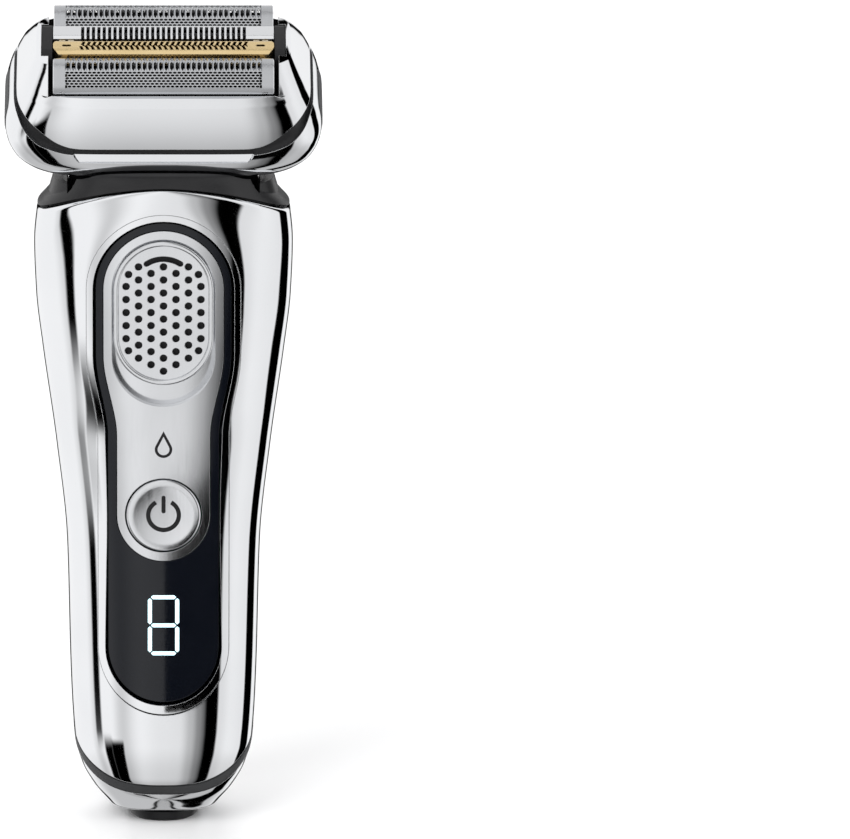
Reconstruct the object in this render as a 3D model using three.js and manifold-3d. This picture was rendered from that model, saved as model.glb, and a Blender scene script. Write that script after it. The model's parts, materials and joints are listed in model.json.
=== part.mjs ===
// Foil shaver with a swivelling head, built from separate pieces.
// Millimetres, +Z up, the panel side faces -Y, +X to the right of the panel.
// The origin is on the floor, under the middle of the object's bounding box.
import * as THREE from 'three';
import { mergeVertices } from 'three/addons/utils/BufferGeometryUtils.js';
import Module from 'manifold-3d';

const wasm = await Module();
wasm.setup();

// ---------------------------------------------------------------- driving dimensions

const GAP = 0.3;                    // clearance between neighbouring pieces
const DEPTH_OFFSET = -1.374;        // centres the whole object's box on Y = 0
const FAR = 40;                     // beyond the object in any direction across it

// Body: half-width, front depth and back depth at heights above the floor, [height, size].
const BODY_HALF_WIDTH = [[0, 8.5], [3.6, 11.5], [7, 14.1], [11, 16.2], [16, 17.5], [30, 18.3],
  [56, 18.95], [76, 21], [95, 23.6], [106, 24.85], [116, 25.2], [123.4, 24.5], [130, 22.8]];
const BODY_FRONT = [[0, 7.5], [3.6, 10.7], [7, 13.2], [10, 14.5], [20, 16], [40, 15.8],
  [60, 15.5], [80, 16.2], [100, 17], [116, 16.7], [130, 14.8]];
const BODY_BACK = [[0, 8], [3.6, 10.8], [7, 12.6], [10, 13.5], [20, 14.5], [40, 15],
  [60, 15.5], [90, 17.3], [108, 17.7], [130, 16.6]];
const FRONT_SQUARENESS = 2.8;       // superellipse powers of the cross-section
const BACK_SQUARENESS = 2.35;
const SHELL_THICKNESS = 1.5;
const SHELL_AROUND = 32;            // facets round the body
const SHELL_LEVELS = [2.3, 5.2, 8, 11.5, 16, 26, 44, 62, 78, 94, 106, 116, 123.4, 130];

// The foot is a rounder plug below the base ring: half-width and depth at heights.
const FOOT_TOP = 2;
const FOOT_HALF_WIDTH = [[0, 6.7], [2, 7.3]];
const FOOT_DEPTH = [[0, 8.6], [2, 9.1]];
const FOOT_SQUARENESS = 2.4;
const BASE_RING_BOTTOM = 2.3;
const BASE_RING_FLOOR = 5.2;        // the ring is a cup with this floor and a wall
// Top edge of the base ring seen from the side: [depth, height].
const RING_EDGE = [[-14.6, 5.4], [-12.2, 7.6], [-9.3, 10.6], [-5, 13.4], [0, 15.4], [8, 17], [20, 17.6]];

// Top edge of the shells: an arch about an axis along Y.
const ARCH_TOP = 129.2;
const ARCH_RADIUS = 54;

// Parting line between the shells, seen from the side: [depth, height].
const PARTING = [[-14.6, 8.6], [-12.4, 11.2], [-9.3, 14.3], [-5, 17.8], [-1, 22], [1.8, 29],
  [3.1, 42], [3.5, 60]];

// Front panel outlines: a round top, a waist and a rounded lower end.
const SHOULDER_HEIGHT = 96.5;         // where the waist begins to narrow
const WAIST_HEIGHT = 80;            // where it is narrowest
const BEZEL_OUTLINE = { top: 124.5, topRadius: 14.9, waist: 12.7, end: 37.4, endRadius: 13.2 };
const BEZEL_HOLE = { top: 122.9, topRadius: 13.3, waist: 10.95, end: 37.4, endRadius: 11.1 };
const LENS_OUTLINE = { top: 122.6, topRadius: 13, waist: 10.65, end: 37.4, endRadius: 10.8 };
const PANEL_OUTLINE = { top: 121.2, topRadius: 11.6, waist: 9, end: 64, endRadius: 9 };

const BUTTON_HEIGHT = 64.2;
const BUTTON_RADIUS = 7.25;
const SLIDER_BOTTOM = 90.7;
const SLIDER_TOP = 119.3;
const SLIDER_HALF_WIDTH = 9.7;
const SLIDER_TRAVEL = 4.1;

// Head frame of reference: the foils' crest plane, tilted forward.
const HEAD_TILT = THREE.MathUtils.degToRad(20);
const HEAD_CENTRE = new THREE.Vector3(0, -4, 157.3);
// Swivel axis in the head's own coordinates (depth, height).
const SWIVEL_DEPTH = -0.5;
const SWIVEL_HEIGHT = -24.5;

const HEAD_HALF_WIDTH = [[-25, 21.4], [-24, 24.4], [-22.5, 27], [-20, 29.4], [-17, 30.6], [-15.5, 30.7],
  [-12, 30], [-8, 28.3], [-4.5, 26.4], [-1.2, 24.5]];
const HEAD_DEPTH = [[-25, 13.4], [-24, 14.6], [-22, 15.9], [-19, 16.7], [-16, 16.9], [-6.4, 15.9],
  [-5.1, 14.7], [-3, 12.4], [-1.2, 9.6]];
const HEAD_SQUARENESS = 5.5;
const HEAD_AROUND = 32;
const HEAD_LEVELS = [-25, -23.8, -22, -19, -16, -11, -6.4, -5.1, -1.2];
// The head's underside rises from its chin toward the rear (depth, height).
const HEAD_UNDERSIDE = [[-14, -25], [17, -21.9]];

// Lower edge of the cassette and upper edge of the head frame, seen from the front.
const CASSETTE_EDGE = [[0, -15.4], [19, -15.4], [25.3, -10.9], [28.2, -8.2], [34, -5]];
const FRAME_EDGE = [[0, -16.6], [19, -16.8], [24.4, -15], [27, -12.6], [28.6, -9.4], [34, -6]];

const WELL_HALF_WIDTH = 23.6;       // well in the cassette frame that holds its core
const WELL_DEPTH = 13.8;
const CORE_TOP = -8;
const CORE_BOTTOM = -12.2;

const FOIL_DEPTHS = { front: -9.4, rear: 9.4 };
const FOIL_RADIUS = 4;
const FOIL_WALL = 0.45;
const FOIL_HALF_LENGTH = 21.3;
const TRIMMER_DEPTH = -3.1;
const GUARD_DEPTH = 2.5;
const FOIL_RIM = -5.2;              // underside of the foil's rim
const LEG_BOTTOM = -11.8;           // legs that guide the floating units in the core
const LEG_HALF_LENGTH = 17.6;
const CUTTER_HALF_LENGTH = 17;
const SWING = 1.1;                  // half-stroke of the drive
const SPRING_X = 19.7;              // the float springs stand beyond the cutters' ends

const RELEASE_INNER = 26.1;         // inner face of the release buttons
const RELEASE_TRAVEL = 0.8;
const RELEASE_SPRING_INNER = 23.4;

// Swivelling neck: a dome on the swivel axis, and the lugs beside it.
const SWIVEL_FORWARD = 0;
const SWIVEL_BACKWARD = THREE.MathUtils.degToRad(-32);
const DOME_RADIUS = 10.5;
const DOME_HALF_LENGTH = 18.3;
const DOME_WALL = 1.3;
const DOME_TOP = 4;                 // flat top of the dome above the swivel axis
const PIN_RADIUS = 1.5;
const LUG_INNER = 18.9;
const LUG_OUTER = 20.4;
const LUG_RADIUS = 3;
const COLLAR_FLOOR = 123;
const COLLAR_HALF_WIDTH = [[119.5, 25], [123.4, 24.5], [125, 23.2], [129.3, 19.6], [132.6, 18.9]];
const COLLAR_FRONT = [[119.5, 16.4], [127, 15.4], [129.2, 14.9], [130, 13.9], [130.5, 12], [132.6, 8]];
const COLLAR_BACK = [[119.5, 17.2], [129.3, 16.7], [131, 16], [132.6, 14.8]];

// Long-hair trimmer on the back.
const HAIR_TRIMMER = { halfWidth: 14.6, bottom: 86, top: 117.5, inner: 14.6, outer: 17.6 };

// ---------------------------------------------------------------- materials

function finish(color, roughness, metalness) {
  return new THREE.MeshStandardMaterial({ color, roughness, metalness });
}

const CHROME = finish(0xd8dadd, 0.08, 1);
const SATIN = finish(0xb9bbbe, 0.35, 1);
const STEEL = finish(0x9fa2a6, 0.3, 1);
const GOLD = finish(0xc79a45, 0.3, 1);
const BLACK = finish(0x141416, 0.5, 0);
const GLOSS_BLACK = finish(0x0a0c10, 0.08, 0);
const DARK_GREY = finish(0x2b2c2e, 0.6, 0);
const RUBBER = finish(0x1a1a1b, 0.85, 0);
const COPPER = finish(0xb66a3c, 0.4, 1);
const BOARD_GREEN = finish(0x1c4a30, 0.6, 0);
const CELL_BLUE = finish(0x2d4a6b, 0.5, 0);

// ---------------------------------------------------------------- solids

// A closed geometry as a solid that can be joined and cut.
function solid(geometry) {
  const bare = geometry.clone();
  bare.deleteAttribute('normal');
  bare.deleteAttribute('uv');
  const merged = mergeVertices(bare, 1e-4);
  const vertProperties = new Float32Array(merged.attributes.position.array);
  const triVerts = new Uint32Array(merged.index.array);
  return new wasm.Manifold(new wasm.Mesh({ numProp: 3, vertProperties, triVerts }));
}

function geometryOf(body) {
  const mesh = body.getMesh();
  const geometry = new THREE.BufferGeometry();
  geometry.setAttribute('position', new THREE.BufferAttribute(mesh.vertProperties, 3));
  geometry.setIndex(new THREE.BufferAttribute(mesh.triVerts, 1));
  return geometry;
}

function addPart(group, name, body, material) {
  const mesh = new THREE.Mesh(geometryOf(body), material);
  mesh.name = name;
  group.add(mesh);
  return mesh;
}

function unite(first, ...others) {
  return others.reduce((sum, body) => sum.add(body), first);
}

function cut(first, ...others) {
  return others.reduce((rest, body) => rest.subtract(body), first);
}

function box(xLow, xHigh, yLow, yHigh, zLow, zHigh) {
  const geometry = new THREE.BoxGeometry(xHigh - xLow, yHigh - yLow, zHigh - zLow);
  geometry.translate((xLow + xHigh) / 2, (yLow + yHigh) / 2, (zLow + zHigh) / 2);
  return solid(geometry);
}

// A cylinder along X, Y or Z between two stations on that axis.
function rod(axis, radius, low, high, centre, sides = 20) {
  const geometry = new THREE.CylinderGeometry(radius, radius, high - low, sides);
  geometry.translate(0, (low + high) / 2, 0);
  if (axis === 'x') geometry.rotateZ(-Math.PI / 2);
  if (axis === 'z') geometry.rotateX(Math.PI / 2);
  geometry.translate(...centre);
  return solid(geometry);
}

function extrude(shape, depth, xAxis, yAxis, zAxis) {
  const options = { depth, bevelEnabled: false, curveSegments: shape.userData?.segments ?? 3 };
  const geometry = new THREE.ExtrudeGeometry(shape, options);
  geometry.applyMatrix4(new THREE.Matrix4().makeBasis(xAxis, yAxis, zAxis));
  return geometry;
}

const AXIS_X = new THREE.Vector3(1, 0, 0);
const AXIS_Y = new THREE.Vector3(0, 1, 0);
const AXIS_Z = new THREE.Vector3(0, 0, 1);

// An outline in (X, Z) made solid between two depths.
function prismAlongY(shape, yLow, yHigh) {
  const geometry = extrude(shape, yHigh - yLow, AXIS_X, AXIS_Z, AXIS_Y.clone().negate());
  return solid(geometry.translate(0, yHigh, 0));
}

// An outline in (Y, Z) made solid between two stations on X.
function prismAlongX(shape, xLow, xHigh) {
  const geometry = extrude(shape, xHigh - xLow, AXIS_Y, AXIS_Z, AXIS_X);
  return solid(geometry.translate(xLow, 0, 0));
}

// An outline in (X, Y) made solid between two heights.
function prismAlongZ(shape, zLow, zHigh) {
  const geometry = extrude(shape, zHigh - zLow, AXIS_X, AXIS_Y, AXIS_Z);
  return solid(geometry.translate(0, 0, zLow));
}

// Two stations in rising order, measured outwards on one side of the middle.
function ordered(side, near, far) {
  return [side * near, side * far].sort((a, b) => a - b);
}

function polygon(points) {
  return new THREE.Shape(points.map(([u, v]) => new THREE.Vector2(u, v)));
}

function roundedRectangle(uLow, uHigh, vLow, vHigh, radius) {
  const shape = new THREE.Shape();
  shape.absarc(uHigh - radius, vLow + radius, radius, -Math.PI / 2, 0);
  shape.absarc(uHigh - radius, vHigh - radius, radius, 0, Math.PI / 2);
  shape.absarc(uLow + radius, vHigh - radius, radius, Math.PI / 2, Math.PI);
  shape.absarc(uLow + radius, vLow + radius, radius, Math.PI, Math.PI * 1.5);
  return shape;
}

// Smooth value at a height from rows of [height, size], with no overshoot between rows.
function profile(rows, height) {
  const last = rows.length - 1;
  if (height <= rows[0][0]) return rows[0][1];
  if (height >= rows[last][0]) return rows[last][1];
  const slope = (i) => (rows[i + 1][1] - rows[i][1]) / (rows[i + 1][0] - rows[i][0]);
  const tangent = (i) => {
    if (i === 0) return slope(0);
    if (i === last) return slope(last - 1);
    const before = slope(i - 1);
    const after = slope(i);
    return before * after <= 0 ? 0 : (2 * before * after) / (before + after);
  };
  const i = rows.findIndex((row) => row[0] > height) - 1;
  const span = rows[i + 1][0] - rows[i][0];
  const t = (height - rows[i][0]) / span;
  const rise = (1 - t) ** 2 * (1 + 2 * t) * rows[i][1] + t ** 2 * (3 - 2 * t) * rows[i + 1][1];
  return rise + span * (t * (1 - t) ** 2 * tangent(i) - t ** 2 * (1 - t) * tangent(i + 1));
}

function signedPower(value, power) {
  return Math.sign(value) * Math.abs(value) ** power;
}

function bodySection(angle, height, inset) {
  const front = Math.sin(angle) < 0;
  const depth = profile(front ? BODY_FRONT : BODY_BACK, height) - inset;
  const power = 2 / (front ? FRONT_SQUARENESS : BACK_SQUARENESS);
  const halfWidth = profile(BODY_HALF_WIDTH, height) - inset;
  return [
    halfWidth * signedPower(Math.cos(angle), power),
    depth * signedPower(Math.sin(angle), power),
  ];
}

function headSection(angle, height, inset) {
  const power = 2 / HEAD_SQUARENESS;
  return [
    (profile(HEAD_HALF_WIDTH, height) - inset) * signedPower(Math.cos(angle), power),
    (profile(HEAD_DEPTH, height) - inset) * signedPower(Math.sin(angle), power),
  ];
}

// A closed form whose cross-section changes from level to level.
function loft(section, levels, around, inset) {
  const steps = levels.length - 1;
  const geometry = new THREE.CylinderGeometry(1, 1, 1, around, steps);
  const position = geometry.attributes.position;
  for (let i = 0; i < position.count; i += 1) {
    const radius = Math.hypot(position.getX(i), position.getZ(i));
    const angle = Math.atan2(position.getX(i), position.getZ(i));
    const height = levels[Math.round((position.getY(i) + 0.5) * steps)];
    const [x, y] = section(angle, height, inset);
    position.setXYZ(i, x * radius, y * radius, height);
  }
  return solid(geometry);
}

function bodyForm(inset, levels = SHELL_LEVELS) {
  return loft(bodySection, levels, SHELL_AROUND, inset);
}

// The part of the body's skin between two depths below its surface.
function bodyLayer(outerInset, innerInset) {
  return bodyForm(outerInset).subtract(bodyForm(innerInset, [-10, ...SHELL_LEVELS, 140]));
}

function headForm(inset, levels = HEAD_LEVELS) {
  return loft(headSection, levels, HEAD_AROUND, inset);
}

class Coil extends THREE.Curve {
  constructor(radius, turns, length) {
    super();
    Object.assign(this, { radius, turns, length });
  }

  getPoint(t, target = new THREE.Vector3()) {
    const angle = t * this.turns * Math.PI * 2;
    return target.set(this.radius * Math.cos(angle), this.radius * Math.sin(angle), t * this.length);
  }
}

function coilSpring(radius, wireRadius, turns, length) {
  const wire = new THREE.Shape(new THREE.EllipseCurve(0, 0, wireRadius, wireRadius).getPoints(4).slice(0, 4));
  const path = new Coil(radius, turns, length);
  return new THREE.ExtrudeGeometry(wire, { steps: turns * 7, bevelEnabled: false, extrudePath: path });
}

// ---------------------------------------------------------------- outlines

// Closed outline that lies above or below an edge given for one half of a symmetric piece.
function sideOfEdge(edge, farHeight) {
  const mirrored = edge.slice(1).reverse().map(([x, h]) => [-x, h]);
  const across = [...mirrored, ...edge];
  const reach = edge[edge.length - 1][0];
  const ring = farHeight > edge[0][1]
    ? [...across, [reach, farHeight], [-reach, farHeight]]
    : [...across.reverse(), [-reach, farHeight], [reach, farHeight]];
  return polygon(ring);
}

function shiftEdge(edge, rise) {
  return edge.map(([x, h]) => [x, h + rise]);
}

// Outline of the panel family, grown outwards by a margin.
function keyhole(outline, margin = 0) {
  const radius = outline.topRadius + margin;
  const waist = outline.waist + margin;
  const centre = outline.top - outline.topRadius;
  const middle = (SHOULDER_HEIGHT + WAIST_HEIGHT) / 2;
  const shape = new THREE.Shape();
  shape.userData = { segments: 7 };
  shape.absellipse(0, outline.end, waist, outline.endRadius + margin, Math.PI, Math.PI * 2);
  shape.lineTo(waist, WAIST_HEIGHT);
  shape.bezierCurveTo(waist, middle, radius, middle, radius, SHOULDER_HEIGHT);
  shape.absarc(0, centre, radius, 0, Math.PI);
  shape.lineTo(-radius, SHOULDER_HEIGHT);
  shape.bezierCurveTo(-radius, middle, -waist, middle, -waist, WAIST_HEIGHT);
  return shape;
}

function stadium(bottom, top, halfWidth) {
  const shape = roundedRectangle(-halfWidth, halfWidth, bottom, top, halfWidth - 0.001);
  shape.userData = { segments: 5 };
  return shape;
}

// Everything in front of the parting line, moved back by an offset.
function frontRegion(offset) {
  const line = PARTING.map(([y, z]) => [y + offset, z - offset]);
  const top = line[line.length - 1];
  const shape = polygon([[-40, line[0][1]], ...line, [top[0], 150], [-40, 150]]);
  return prismAlongX(shape, -FAR, FAR);
}

// Everything under the arch that ends the shells.
function underArch(offset) {
  const centre = ARCH_TOP - ARCH_RADIUS;
  return rod('y', ARCH_RADIUS + offset, -FAR, FAR, [0, 0, centre], 96)
    .add(box(-FAR, FAR, -FAR, FAR, -20, centre + 20));
}

// ---------------------------------------------------------------- body

const handle = new THREE.Group();

function trimmerChannel(margin, zLow, zHigh) {
  const { halfWidth, inner, outer } = HAIR_TRIMMER;
  const shape = polygon([
    [-halfWidth - margin, inner - margin], [halfWidth + margin, inner - margin],
    [halfWidth + margin, outer - 2.2 + margin], [halfWidth - 4, outer - 0.8 + margin],
    [5, outer + margin], [-5, outer + margin],
    [-halfWidth + 4, outer - 0.8 + margin], [-halfWidth - margin, outer - 2.2 + margin],
  ]);
  return prismAlongZ(shape, zLow, zHigh);
}

function gripOutline(margin) {
  return roundedRectangle(-12 - margin, 12 + margin, 22 - margin, 80 + margin, 8);
}

// Everything under the base ring's top edge.
function underRingEdge(offset) {
  const line = RING_EDGE.map(([y, z]) => [y, z + offset]);
  return prismAlongX(polygon([[-FAR, line[0][1]], [-FAR, -5], [20, -5], ...line.reverse()]), -FAR, FAR);
}

function buildShells() {
  const skin = bodyLayer(0, SHELL_THICKNESS).intersect(underArch(0));
  const bezelOpening = prismAlongY(keyhole(BEZEL_OUTLINE, GAP), -30, -5);
  const front = cut(skin.intersect(frontRegion(0)), bezelOpening);
  addPart(handle, 'front_shell', front, CHROME);

  const trimmerBay = bodyForm(0).intersect(trimmerChannel(1.3, HAIR_TRIMMER.bottom - 2, 119.2));
  const rearSkin = skin.subtract(frontRegion(GAP)).add(trimmerBay.subtract(frontRegion(GAP)));
  const gripPocket = prismAlongY(gripOutline(GAP), 2, 30).subtract(bodyForm(1));
  const channel = trimmerChannel(GAP, HAIR_TRIMMER.bottom - GAP, 140).add(
    box(-HAIR_TRIMMER.halfWidth - GAP, HAIR_TRIMMER.halfWidth + GAP, 15, 30, HAIR_TRIMMER.bottom - GAP, 140));
  addPart(handle, 'rear_shell', cut(rearSkin, underRingEdge(GAP), gripPocket, channel), DARK_GREY);

  const grip = prismAlongY(gripOutline(0), 2, 30).intersect(bodyForm(-0.5))
    .subtract(bodyForm(0.7));
  addPart(handle, 'rear_grip', grip, RUBBER);
}

function buildPanel() {
  const bezel = prismAlongY(keyhole(BEZEL_OUTLINE), -30, -5).intersect(bodyLayer(0.1, 2.2))
    .subtract(prismAlongY(keyhole(BEZEL_HOLE), -31, -4));
  addPart(handle, 'bezel', bezel, CHROME);

  const panelPrism = prismAlongY(keyhole(PANEL_OUTLINE), -30, -5);
  const track = prismAlongY(stadium(SLIDER_BOTTOM - SLIDER_TRAVEL - GAP, SLIDER_TOP + GAP,
    SLIDER_HALF_WIDTH + GAP), -30, -5);
  const trackPocket = track.intersect(bodyForm(-3).subtract(bodyForm(2.4)));
  const stemSlot = box(-2.6, 2.6, -30, -5, 98 - SLIDER_TRAVEL - 2, 104);
  const buttonHole = rod('y', BUTTON_RADIUS + GAP, -30, -5, [0, 0, BUTTON_HEIGHT], 36);
  const panel = cut(panelPrism.intersect(bodyLayer(0.2, 3.6)), trackPocket, stemSlot, buttonHole);
  addPart(handle, 'control_panel', panel, SATIN);

  const lens = prismAlongY(keyhole(LENS_OUTLINE), -30, -5).intersect(bodyLayer(0.25, 1.7))
    .subtract(prismAlongY(keyhole(PANEL_OUTLINE, GAP), -31, -4));
  addPart(handle, 'display_lens', lens, GLOSS_BLACK);

  addPart(handle, 'display_module', box(-8.5, 8.5, -12.8, -11.4, 30.5, 53.5), BLACK);
  addPart(handle, 'tact_switch', box(-3, 3, -9.4, -7.2, BUTTON_HEIGHT - 3, BUTTON_HEIGHT + 3), BLACK);
}

function buildControls() {
  const disc = rod('y', BUTTON_RADIUS, -30, -5, [0, 0, BUTTON_HEIGHT], 36)
    .intersect(bodyLayer(0.15, 3.2));
  const stem = rod('y', 1.6, -13.5, -10.2, [0, 0, BUTTON_HEIGHT], 16);
  addPart(handle, 'power_button', disc.add(stem), SATIN);

  const plate = prismAlongY(stadium(SLIDER_BOTTOM, SLIDER_TOP, SLIDER_HALF_WIDTH), -30, -5)
    .intersect(bodyLayer(0.7, 1.9));
  addPart(handle, 'lock_slider', plate, SATIN);

  const bar = box(-4, 4, -12.4, -11.2, 96, 120.5);
  const barStem = box(-2, 2, -14.4, -11.5, 98.2, 103.4);
  addPart(handle, 'lock_bar', bar.add(barStem), STEEL);
}

function footSection(angle, height, inset) {
  const power = 2 / FOOT_SQUARENESS;
  return [
    (profile(FOOT_HALF_WIDTH, height) - inset) * signedPower(Math.cos(angle), power),
    (profile(FOOT_DEPTH, height) - inset) * signedPower(Math.sin(angle), power),
  ];
}

function buildBase() {
  const socketHole = roundedRectangle(-4.8, 4.8, -2.8, 2.8, 1.2);
  const foot = loft(footSection, [0, FOOT_TOP], SHELL_AROUND, 0)
    .subtract(prismAlongZ(socketHole, -1, 5));
  addPart(handle, 'foot', foot, BLACK);

  const cup = bodyForm(0, [BASE_RING_BOTTOM, 5.2, 8, 11.5, 16, 20])
    .subtract(bodyForm(SHELL_THICKNESS, [BASE_RING_FLOOR, 8, 11.5, 16, 24]));
  const spigot = bodyForm(3.2, [BASE_RING_FLOOR - 0.5, 9, 13]);
  const ring = cup.intersect(underRingEdge(0)).add(spigot);
  const socketBay = roundedRectangle(-6.2, 6.2, -4.2, 4.2, 1.5);
  addPart(handle, 'base_ring', ring.subtract(prismAlongZ(socketBay, 0, 20)), CHROME);

  const sealRing = bodyForm(1.8, [8.6, 10.2]).subtract(bodyForm(2.9, [8, 11]));
  addPart(handle, 'base_seal', sealRing, RUBBER);

  const socket = prismAlongZ(roundedRectangle(-5.9, 5.9, -3.9, 3.9, 1.2), 2.3, 13.6)
    .subtract(prismAlongZ(socketHole, 2, 11));
  const pinHoles = [-2.2, 2.2].map((x) => rod('z', 1.1, 10, 15, [x, 0, 0], 12));
  addPart(handle, 'charge_socket', cut(socket, ...pinHoles), BLACK);
  addPart(handle, 'contact_pin_left', rod('z', 0.8, 4.8, 14.2, [-2.2, 0, 0], 12), STEEL);
  addPart(handle, 'contact_pin_right', rod('z', 0.8, 4.8, 14.2, [2.2, 0, 0], 12), STEEL);
}

function buildInterior() {
  const screwSites = { left: -9, right: 9 };
  const screwHeight = 84;
  const plate = box(-12.5, 12.5, -5.2, -3.6, 16, 88);
  const walls = [-1, 1].map((side) => box(...ordered(side, 11.3, 12.5), -4, 6, 16, 88));
  const bosses = Object.values(screwSites).map((x) => rod('y', 1, -20, 0, [x, 0, screwHeight], 12));
  addPart(handle, 'inner_chassis', cut(unite(plate, ...walls), ...bosses), BLACK);

  const board = box(-11.5, 11.5, -6.8, -5.6, 24, 88);
  addPart(handle, 'circuit_board', cut(board, ...bosses), BOARD_GREEN);
  for (const [side, x] of Object.entries(screwSites)) {
    const head = rod('y', 1.6, -8.3, -7.1, [x, 0, screwHeight], 12);
    const shank = rod('y', 0.7, -7.5, -2.4, [x, 0, screwHeight], 12);
    addPart(handle, `chassis_screw_${side}`, head.add(shank), STEEL);
  }
  addPart(handle, 'battery', rod('z', 7.1, 18, 67, [0, 4.8, 0], 28), CELL_BLUE);

  const core = cut(box(-10.5, 10.5, -7, 8.4, 91, 110),
    box(-6.6, -3, -8, 9.4, 95, 111), box(3, 6.6, -8, 9.4, 95, 111));
  addPart(handle, 'motor_stator', core, STEEL);
  const coil = cut(box(-6.3, 6.3, -8.6, 10, 96, 107.5), box(-3.3, 3.3, -7.3, 8.7, 90, 120));
  addPart(handle, 'motor_coil', coil, COPPER);
}

buildShells();
buildPanel();
buildControls();
buildBase();
buildInterior();

// ---------------------------------------------------------------- drive and neck

// Swivel axis in the body's coordinates.
const swivel = new THREE.Vector3(0, SWIVEL_DEPTH, SWIVEL_HEIGHT)
  .applyAxisAngle(AXIS_X, HEAD_TILT)
  .add(HEAD_CENTRE);

function buildDrive() {
  addPart(handle, 'armature', box(-8, 8, -4.5, 3.2, 111.4, 115.4), STEEL);
  const shaft = rod('z', 1.2, 115.7, swivel.z, [0, 0, 0], 12);
  const arm = box(-1.6, 1.6, -1.4, swivel.y + 1.2, 118, 119.8);
  const upper = rod('z', 1.2, 118.2, swivel.z, [0, swivel.y, 0], 12);
  const ball = solid(new THREE.SphereGeometry(2, 12, 8).translate(0, swivel.y, swivel.z));
  const lower = shaft.intersect(box(-3, 3, -3, 3, 115, 119));
  addPart(handle, 'drive_pin', unite(lower, arm, upper, ball), STEEL);
  addPart(handle, 'counterweight', box(-8, 8, 4.2, 9.8, 111.4, 115.4), STEEL);
}

// The space that the head's front edge needs when it swings fully forward.
function forwardSwing() {
  const tilt = HEAD_TILT + SWIVEL_FORWARD;
  const edge = HEAD_DEPTH.slice(0, 4).map(([height, depth]) => {
    const across = -(depth + 0.5) - SWIVEL_DEPTH;
    const up = height - 0.3 - SWIVEL_HEIGHT;
    return [
      swivel.y + across * Math.cos(tilt) - up * Math.sin(tilt),
      swivel.z + across * Math.sin(tilt) + up * Math.cos(tilt),
    ];
  });
  const top = 150;
  const shape = polygon([[swivel.y, swivel.z], ...edge, [-FAR, edge[3][1]], [-FAR, top], [swivel.y, top]]);
  return prismAlongX(shape, -FAR, FAR);
}

function buildCollar() {
  const cap = loft(collarSection, [119.5, 123.4, 125, 127, 129.2, 130, 130.5, 131, 132.6], SHELL_AROUND, 0)
    .subtract(underArch(GAP));
  const spigot = bodyForm(SHELL_THICKNESS + GAP, [119.5, 123, 126, 129.4])
    .intersect(underArch(GAP + 0.2));
  const hollow = bodyForm(4.2, [110, 120, 140]);
  const floor = bodyForm(SHELL_THICKNESS + GAP, [COLLAR_FLOOR - 1.5, COLLAR_FLOOR]);
  const bezelRoom = prismAlongY(keyhole(BEZEL_OUTLINE, GAP), -30, -5);
  const roomLength = DOME_HALF_LENGTH + GAP;
  const domeRoom = rod('x', DOME_RADIUS + GAP, -roomLength, roomLength, swivel, 28)
    .subtract(box(-FAR, FAR, -FAR, FAR, 100, COLLAR_FLOOR));
  const middle = box(-roomLength, roomLength, -9.9, 14.6, COLLAR_FLOOR, 140);
  const sealHole = rod('z', 6.2, 100, 130, [0, swivel.y, 0], 24);
  const barSlot = box(-4.5, 4.5, -13, -10.6, 100, 124);
  const channel = trimmerChannel(GAP, 100, 140);
  const ring = cut(cap.add(spigot), hollow.subtract(box(-FAR, FAR, -FAR, FAR, COLLAR_FLOOR - 0.5, 150)));
  const holes = [domeRoom, middle, sealHole, barSlot, channel, bezelRoom];
  addPart(handle, 'collar', cut(unite(ring, floor), forwardSwing(), ...holes), BLACK);
}

// A box placed about the swivel axis, square to the head in the middle of its swing.
function tiltedBox(...limits) {
  const middle = HEAD_TILT + (SWIVEL_FORWARD + SWIVEL_BACKWARD) / 2;
  return box(...limits).rotate([THREE.MathUtils.radToDeg(middle), 0, 0]).translate(swivel.toArray());
}

function buildDome() {
  const length = DOME_HALF_LENGTH;
  const hollow = length - DOME_WALL;
  const roofDepth = 9.3;
  const outer = rod('x', DOME_RADIUS, -length, length, swivel, 28);
  const inner = rod('x', DOME_RADIUS - DOME_WALL, -hollow, hollow, swivel, 28);
  const topCut = tiltedBox(-FAR, FAR, -FAR, FAR, DOME_TOP, FAR);
  const roof = tiltedBox(-hollow - 0.3, hollow + 0.3, -roofDepth, roofDepth, DOME_TOP - DOME_WALL, DOME_TOP);
  const slot = tiltedBox(-5.6, 5.6, -5.2, 5.2, -2, FAR);
  const below = box(-FAR, FAR, -FAR, FAR, 100, COLLAR_FLOOR + GAP);
  const pinHoles = rod('x', PIN_RADIUS + GAP, -FAR, FAR, swivel, 16);
  const throat = rod('z', 6.3, 110, 127, [0, swivel.y, 0], 20);
  const reach = bodyForm(2.2, [110, 123.4, 130]).add(box(-FAR, FAR, -FAR, FAR, 129.5, 160));
  const dome = cut(unite(cut(outer, inner, topCut), roof), slot, below, pinHoles, throat);
  addPart(handle, 'neck_dome', dome.intersect(reach), BLACK);
}

function buildSwivelFittings() {
  const sealProfile = [
    [2.6, 121.6], [5.9, 121.6], [5.9, 122.9], [4.6, 122.9], [3.2, 124.4], [2.6, 124.4], [2.6, 121.6],
  ];
  const sealRing = new THREE.LatheGeometry(sealProfile.map(([r, z]) => new THREE.Vector2(r, z)), 20)
    .rotateX(Math.PI / 2).translate(0, swivel.y, 0);
  addPart(handle, 'neck_seal', solid(sealRing), RUBBER);

  for (const [side, sign] of [['left', -1], ['right', 1]]) {
    const pin = rod('x', PIN_RADIUS, ...ordered(sign, 16.2, LUG_OUTER + 0.2), swivel, 16);
    addPart(handle, `swivel_pin_${side}`, pin, STEEL);
  }

  const spring = new THREE.Mesh(coilSpring(2.4, 0.3, 3, 4), STEEL);
  spring.name = 'swivel_spring';
  spring.rotation.y = Math.PI / 2;
  spring.position.set(10.6, swivel.y, swivel.z);
  handle.add(spring);
}

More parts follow.
